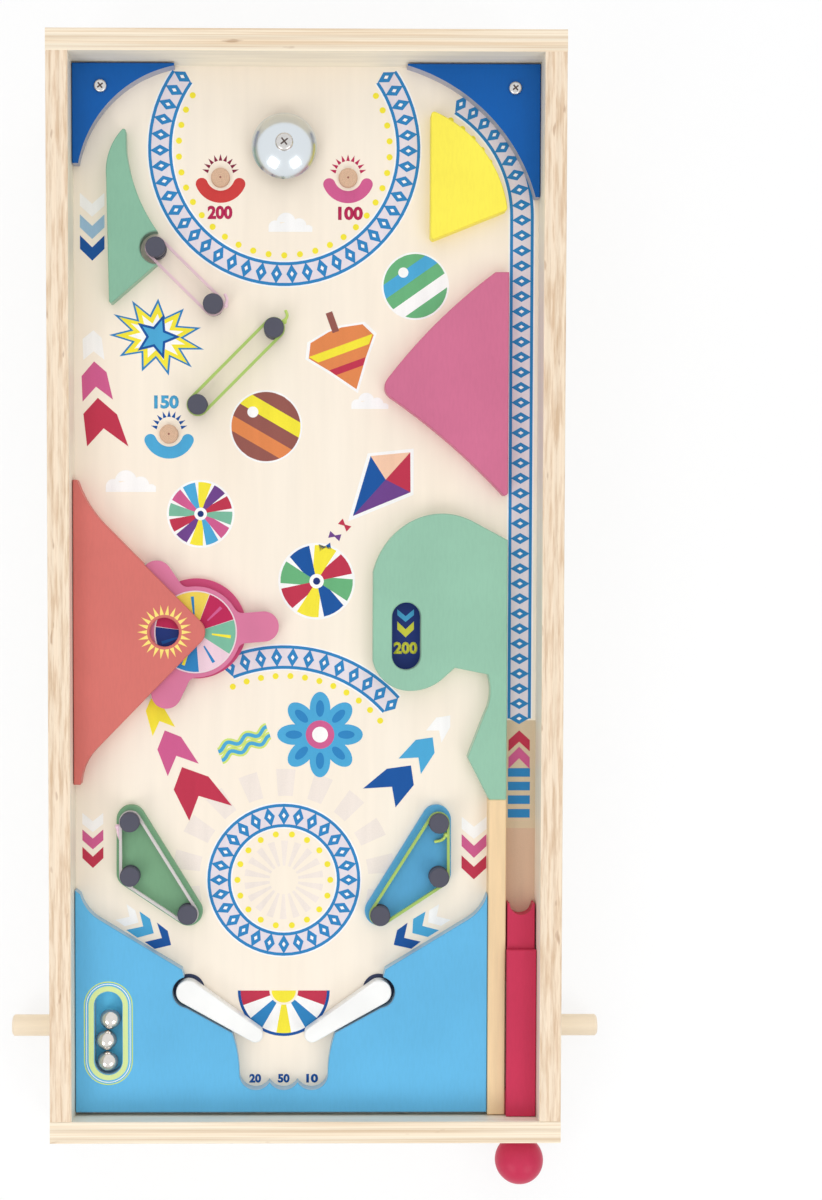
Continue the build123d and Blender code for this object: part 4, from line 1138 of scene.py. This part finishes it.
class PINBALL_OT_bands(Step, bpy.types.Operator):
    """Print the blue bands and the rows of beads beside them"""

    bl_idname = "pinball.bands"
    bl_label = "Print Bands"

    def execute(self, context):
        prints = context.scene.pinball_prints
        width, edge = prints.band_width / MM, prints.edge_width / MM
        press = Press("deck_band")
        for index, (points, closed) in enumerate(self.paths(prints)):
            press.line("white", points, width + BAND_RIM, closed=closed)
            press.line("pearl", points, width - edge, 1, closed=closed)
            for side in (1, -1):
                press.line("blue", points, edge, 2, side * (width - edge) / 2, closed)
            length = sum(math.dist(a, b) for a, b in zip(points, points[1:] + points[:1] * closed))
            count = max(4, round(length * MM / prints.mark_pitch))
            size = (3.1, width / 2 - edge + 0.6)
            marks(f"band_marks_{index + 1}", "blue", points, count, size, 4, level=2, closed=closed)
            marks(f"band_hearts_{index + 1}", "white", points, count, (1.0, 1.5), 4, level=3, closed=closed)
        press.pull()
        for index, (points, count, closed) in enumerate(self.beads(prints)):
            marks(f"beads_{index + 1}", "yellow", points, count, (1.7, 1.7), closed=closed)
        return {"FINISHED"}

    def paths(self, prints):
        """Centrelines of the bands: bell ring, lane, fan and target, and whether each is closed."""
        ring = arc(BELL, prints.ring_radius / MM, 145, 250, 60)
        lane = [(118.4, along) for along in range(-70, 204, 6)] + arc(LANE_CORNER, 71.9, 0, 58, 20)
        fan = arc(FAN, 80.0, 42, 70, 24)
        target = circle(TARGET, prints.target_radius / MM, 60)
        return ((ring, False), (lane, False), (fan, False), (target, True))

    def beads(self, prints):
        """Rows of dots beside the bands: path, count and whether it is closed."""
        return (
            (arc(BELL, prints.ring_radius / MM - BEAD_INSET, 150, 240, 50), 29, False),
            (arc(LANE_CORNER, 61.4, 14, 44, 20), 7, False),
            (arc(FAN, 69.6, 40, 74, 24), 12, False),
            (circle(TARGET, prints.target_radius / MM - BEAD_INSET, 40), 18, True),
        )


class PINBALL_OT_motifs(Step, bpy.types.Operator):
    """Print the burst, balls, top, kite, pinwheels, flower, waves, fan and rays"""

    bl_idname = "pinball.motifs"
    bl_label = "Print Motifs"

    def execute(self, context):
        press = Press("motif")
        self.burst(press, (-82.0, 140.0), -18)
        self.ball(press, (60.0, 168.0), 17.5, ("green", "white", "green", "sky", "green"), 35)
        self.top(press, (20.0, 133.0), 19.0, ("orange", "yellow", "brown", "red"), 20)
        self.ball(press, (-22.0, 91.0), 19.0, ("brown", "orange", "brown", "yellow", "brown"), -30)
        self.kite(press, (44.0, 62.0), 1.35, ("peach", "red", "violet", "royal"), -42)
        self.pinwheel(press, (-58.0, 43.0), 17.5, ("red", "violet", "yellow", "sky", "pink", "mint"), 10)
        self.pinwheel(press, (6.0, 6.0), 20.0, ("red", "yellow", "royal", "green"), 12)
        self.flower(press, (8.0, -79.0), 22.0, 8)
        self.waves(press, (-34.0, -84.0), 22)
        self.canopy(press, (FIELD_AXIS, -222.0))
        press.pull()
        self.rays()
        return {"FINISHED"}

    def burst(self, press, place, turn):
        stretch = [(x * 1.12, y * 0.86) for x, y in star((0, 0), 24.0, 13.5, 11, 4)]
        for level, (key, size) in enumerate((("blue", 1.0), ("yellow", 0.87), ("white", 0.6))):
            press.shape(key, stretch, level, place, turn, size)
        press.shape("royal", star((0, 0), 13.0, 5.8, 5, 90), 3, place, turn)
        press.shape("sky", star((0, 0), 9.6, 4.2, 5, 90), 4, place, turn)

    def ball(self, press, place, radius, stripes, turn):
        press.shape("white", circle(place, radius + 1.0, 44))
        count = len(stripes)
        for index, key in enumerate(stripes):
            low = -0.999 + 1.998 * index / count
            high = -0.999 + 1.998 * (index + 1) / count
            press.shape(key, disc_slice(radius, low, high), 1, place, turn)
        press.shape("white", circle((-radius * 0.38, radius * 0.42), radius * 0.16, 20), 2, place)

    def top(self, press, place, radius, keys, turn):
        half = [(1.0, 0.1), (0.8, 0.5), (0.2, 0.62)]
        body = [(0, -1.2), (0.55, -0.45), *half, *[(-x, y) for x, y in reversed(half)], (-0.55, -0.45)]
        press.shape("white", body, 0, place, turn, radius * 1.1)
        press.shape(keys[0], body, 1, place, turn, radius)
        for key, low, high, wide, narrow in ((keys[1], -0.1, 0.14, 0.78, 0.98),
                                             (keys[3], -0.62, -0.42, 0.42, 0.56)):
            bar = [(-wide, low), (wide, low), (narrow, high), (-narrow, high)]
            press.shape(key, bar, 2, place, turn, radius)
        press.shape(keys[2], rectangle((-0.1, 0.55), (0.1, 1.15)), 2, place, turn, radius)

    def kite(self, press, place, size, keys, turn):
        quarters = (
            [(0, 0), (0, 15), (-11, 3)],
            [(0, 0), (11, 3), (0, 15)],
            [(0, 0), (0, -20), (11, 3)],
            [(0, 0), (-11, 3), (0, -20)],
        )
        press.shape("white", [(0, 17), (12.6, 3), (0, -23), (-12.6, 3)], 0, place, turn, size)
        for key, quarter in zip(keys, quarters):
            press.shape(key, quarter, 1, place, turn, size)
        bow = [(-3.2, 2), (0, 0.4), (3.2, 2), (3.2, -2), (0, -0.4), (-3.2, -2)]
        for index in range(3):
            spot = placed([(0.0, -25.0 - 6 * index)], place, turn, size)[0]
            press.shape(keys[(index + 1) % 4], bow, 1, spot, turn + 25 * index)

    def pinwheel(self, press, place, radius, keys, turn):
        press.shape("white", circle(place, radius + 1.2, 44))
        count = len(keys) * 2
        for index in range(count):
            start = turn + 360 * index / count
            tip = arc((0, 0), radius, start, 360 / count, 6)
            blade = [(0, 0)] + tip[:5] + [placed([(radius * 0.45, 0)], (0, 0), start + 360 / count)[0]]
            press.shape(keys[index % len(keys)], blade, 1, place)
        press.shape("white", circle(place, radius * 0.2, 24), 2)
        press.shape("navy", circle(place, radius * 0.1, 16), 3)

    def flower(self, press, place, radius, petals):
        for index in range(petals):
            angle = 360 * index / petals
            middle = placed([(radius * 0.66, 0)], place, angle)[0]
            oval = [(x, y * 0.62) for x, y in circle((0, 0), radius * 0.42, 26)]
            press.shape("sky", oval, 1 if index % 2 else 2, middle, angle)
            press.shape("blue", [(x * 0.5, y * 0.4) for x, y in oval], 3, middle, angle)
        press.shape("pink", circle(place, radius * 0.36, 30), 3)
        press.shape("white", circle(place, radius * 0.2, 24), 4)

    def waves(self, press, place, turn):
        """Two wavy strokes, blue on lime."""
        for lift in (2.6, -2.6):
            path = [(x, lift + 1.5 * math.sin(x * 0.55)) for x in range(-15, 16)]
            path = placed(path, place, turn)
            press.line("lime", path, 4.4)
            press.line("sky", path, 2.0, 1)

    def canopy(self, press, place):
        """A striped half sun that opens toward the drain."""
        colors = ("red", "white", "blue", "white", "yellow", "white", "blue", "white", "red")
        share = 180 / len(colors)
        for index, key in enumerate(colors):
            press.ring(key, place, 8.0, 24.0, 180 + share * index, share, 1)
        press.ring("royal", place, 24.0, 25.6, 180, 180, 1)
        press.shape("yellow", arc(place, 6.8, 180, 180, 20), 1)

    def rays(self):
        """Pale rays inside and round the target ring."""
        press = Press("haze")
        for index in range(18):
            start = 20 * index + 4
            press.ring("haze", TARGET, 8.0, 22.0, start, 10)
            if start < 200 or start > 330:
                press.ring("haze", TARGET, 47.0, 62.0, start, 10)
        press.pull()


class PINBALL_OT_studio(Step, bpy.types.Operator):
    """Set up the floor, the lights and the camera"""

    bl_idname = "pinball.studio"
    bl_label = "Set Up Studio"

    def execute(self, context):
        studio = context.scene.pinball_studio
        self.floor()
        self.world(context, studio)
        for name, place, size, share, mirrored in SOFT_BOXES:
            light = bpy.data.lights.new(name, "AREA")
            light.shape = "RECTANGLE"
            light.size, light.size_y = size
            light.energy = studio.key_power * share
            lamp = bpy.data.objects.new(name, light)
            lamp.location = place
            lamp.visible_glossy = mirrored
            lamp.rotation_euler = (Vector(BOX_TARGET) - Vector(place)).to_track_quat("-Z", "Y").to_euler()
            context.scene.collection.objects.link(lamp)
        camera = bpy.data.cameras.new("Camera")
        camera.lens = studio.lens
        camera.sensor_width = SENSOR_WIDTH
        camera.shift_x, camera.shift_y = CAMERA_SHIFT
        camera.clip_start = CLIP_START
        holder = bpy.data.objects.new("Camera", camera)
        holder.location = CAMERA_PLACE
        holder.rotation_euler = Euler([math.radians(angle) for angle in CAMERA_TURN])
        context.scene.collection.objects.link(holder)
        context.scene.camera = holder
        context.scene.view_settings.view_transform = "Standard"
        return {"FINISHED"}

    def floor(self):
        """Paper that looks white and lights the object like plain paper."""
        mesh = bmesh.new()
        bmesh.ops.create_grid(mesh, x_segments=1, y_segments=1, size=FLOOR_HALF)
        data = bpy.data.meshes.new("floor")
        mesh.to_mesh(data)
        mesh.free()
        s = Shader("Floor paper")
        tone = s.noise(s.coords(), 3.0, 2.0)
        color = s.ramp(tone, (0.3, (250, 250, 250)), (0.7, (252, 252, 253)))
        paper = s.first("BsdfPrincipled", {"Base Color": color, "Roughness": 0.9})
        glow = s.first("Emission", {"Color": WHITE, "Strength": 1.0})
        share = s.math("MULTIPLY", s.seen(), FLOOR_GLOW)
        s.node("OutputMaterial", {"Surface": s.first("MixShader", {"Fac": share, 1: paper, 2: glow})})
        data.materials.append(s.material)
        floor = bpy.data.objects.new("floor", data)
        bpy.context.scene.collection.objects.link(floor)

    def world(self, context, studio):
        """Soft light from all round, which looks white."""
        world = bpy.data.worlds.new("Studio")
        context.scene.world = world
        world.use_nodes = True
        w = Nodes(world.node_tree)
        soft = w.first("Background", {"Color": WORLD_TINT, "Strength": studio.world_strength})
        white = w.first("Background", {"Color": WHITE, "Strength": 1.0})
        w.node("OutputWorld", {"Surface": w.first("MixShader", {"Fac": w.seen(), 1: soft, 2: white})})


class PINBALL_PT_sidebar(bpy.types.Panel):
    """Settings and steps of the pinball game"""

    bl_label = "Pinball Game"
    bl_idname = "PINBALL_PT_sidebar"
    bl_space_type = "VIEW_3D"
    bl_region_type = "UI"
    bl_category = "Pinball"

    def draw(self, context):
        layout = self.layout
        for name in SETTINGS:
            box = layout.box()
            box.label(text=name.removeprefix("pinball_").capitalize())
            settings = getattr(context.scene, name)
            for key in settings.__annotations__:
                box.prop(settings, key)
        column = layout.column(align=True)
        for step in STEPS:
            column.operator(step.bl_idname)


STEPS = (
    PINBALL_OT_frame,
    PINBALL_OT_deck,
    PINBALL_OT_fittings,
    PINBALL_OT_wheel,
    PINBALL_OT_flippers,
    PINBALL_OT_marks,
    PINBALL_OT_bands,
    PINBALL_OT_motifs,
    PINBALL_OT_studio,
)
SETTINGS = {
    "pinball_wood": PinballWood,
    "pinball_paints": PinballPaints,
    "pinball_prints": PinballPrints,
    "pinball_springs": PinballSprings,
    "pinball_studio": PinballStudio,
}


def register():
    for kind in (*SETTINGS.values(), *STEPS, PINBALL_PT_sidebar):
        bpy.utils.register_class(kind)
    for name, kind in SETTINGS.items():
        setattr(bpy.types.Scene, name, bpy.props.PointerProperty(type=kind))


def unregister():
    for name in SETTINGS:
        delattr(bpy.types.Scene, name)
    for kind in reversed((*SETTINGS.values(), *STEPS, PINBALL_PT_sidebar)):
        bpy.utils.unregister_class(kind)


def main():
    """Run every step."""
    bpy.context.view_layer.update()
    register()
    bpy.ops.pinball.frame()
    bpy.ops.pinball.deck()
    bpy.ops.pinball.fittings()
    bpy.ops.pinball.wheel()
    bpy.ops.pinball.flippers()
    bpy.ops.pinball.marks()
    bpy.ops.pinball.bands()
    bpy.ops.pinball.motifs()
    bpy.ops.pinball.studio()


if __name__ == "__main__":
    main()
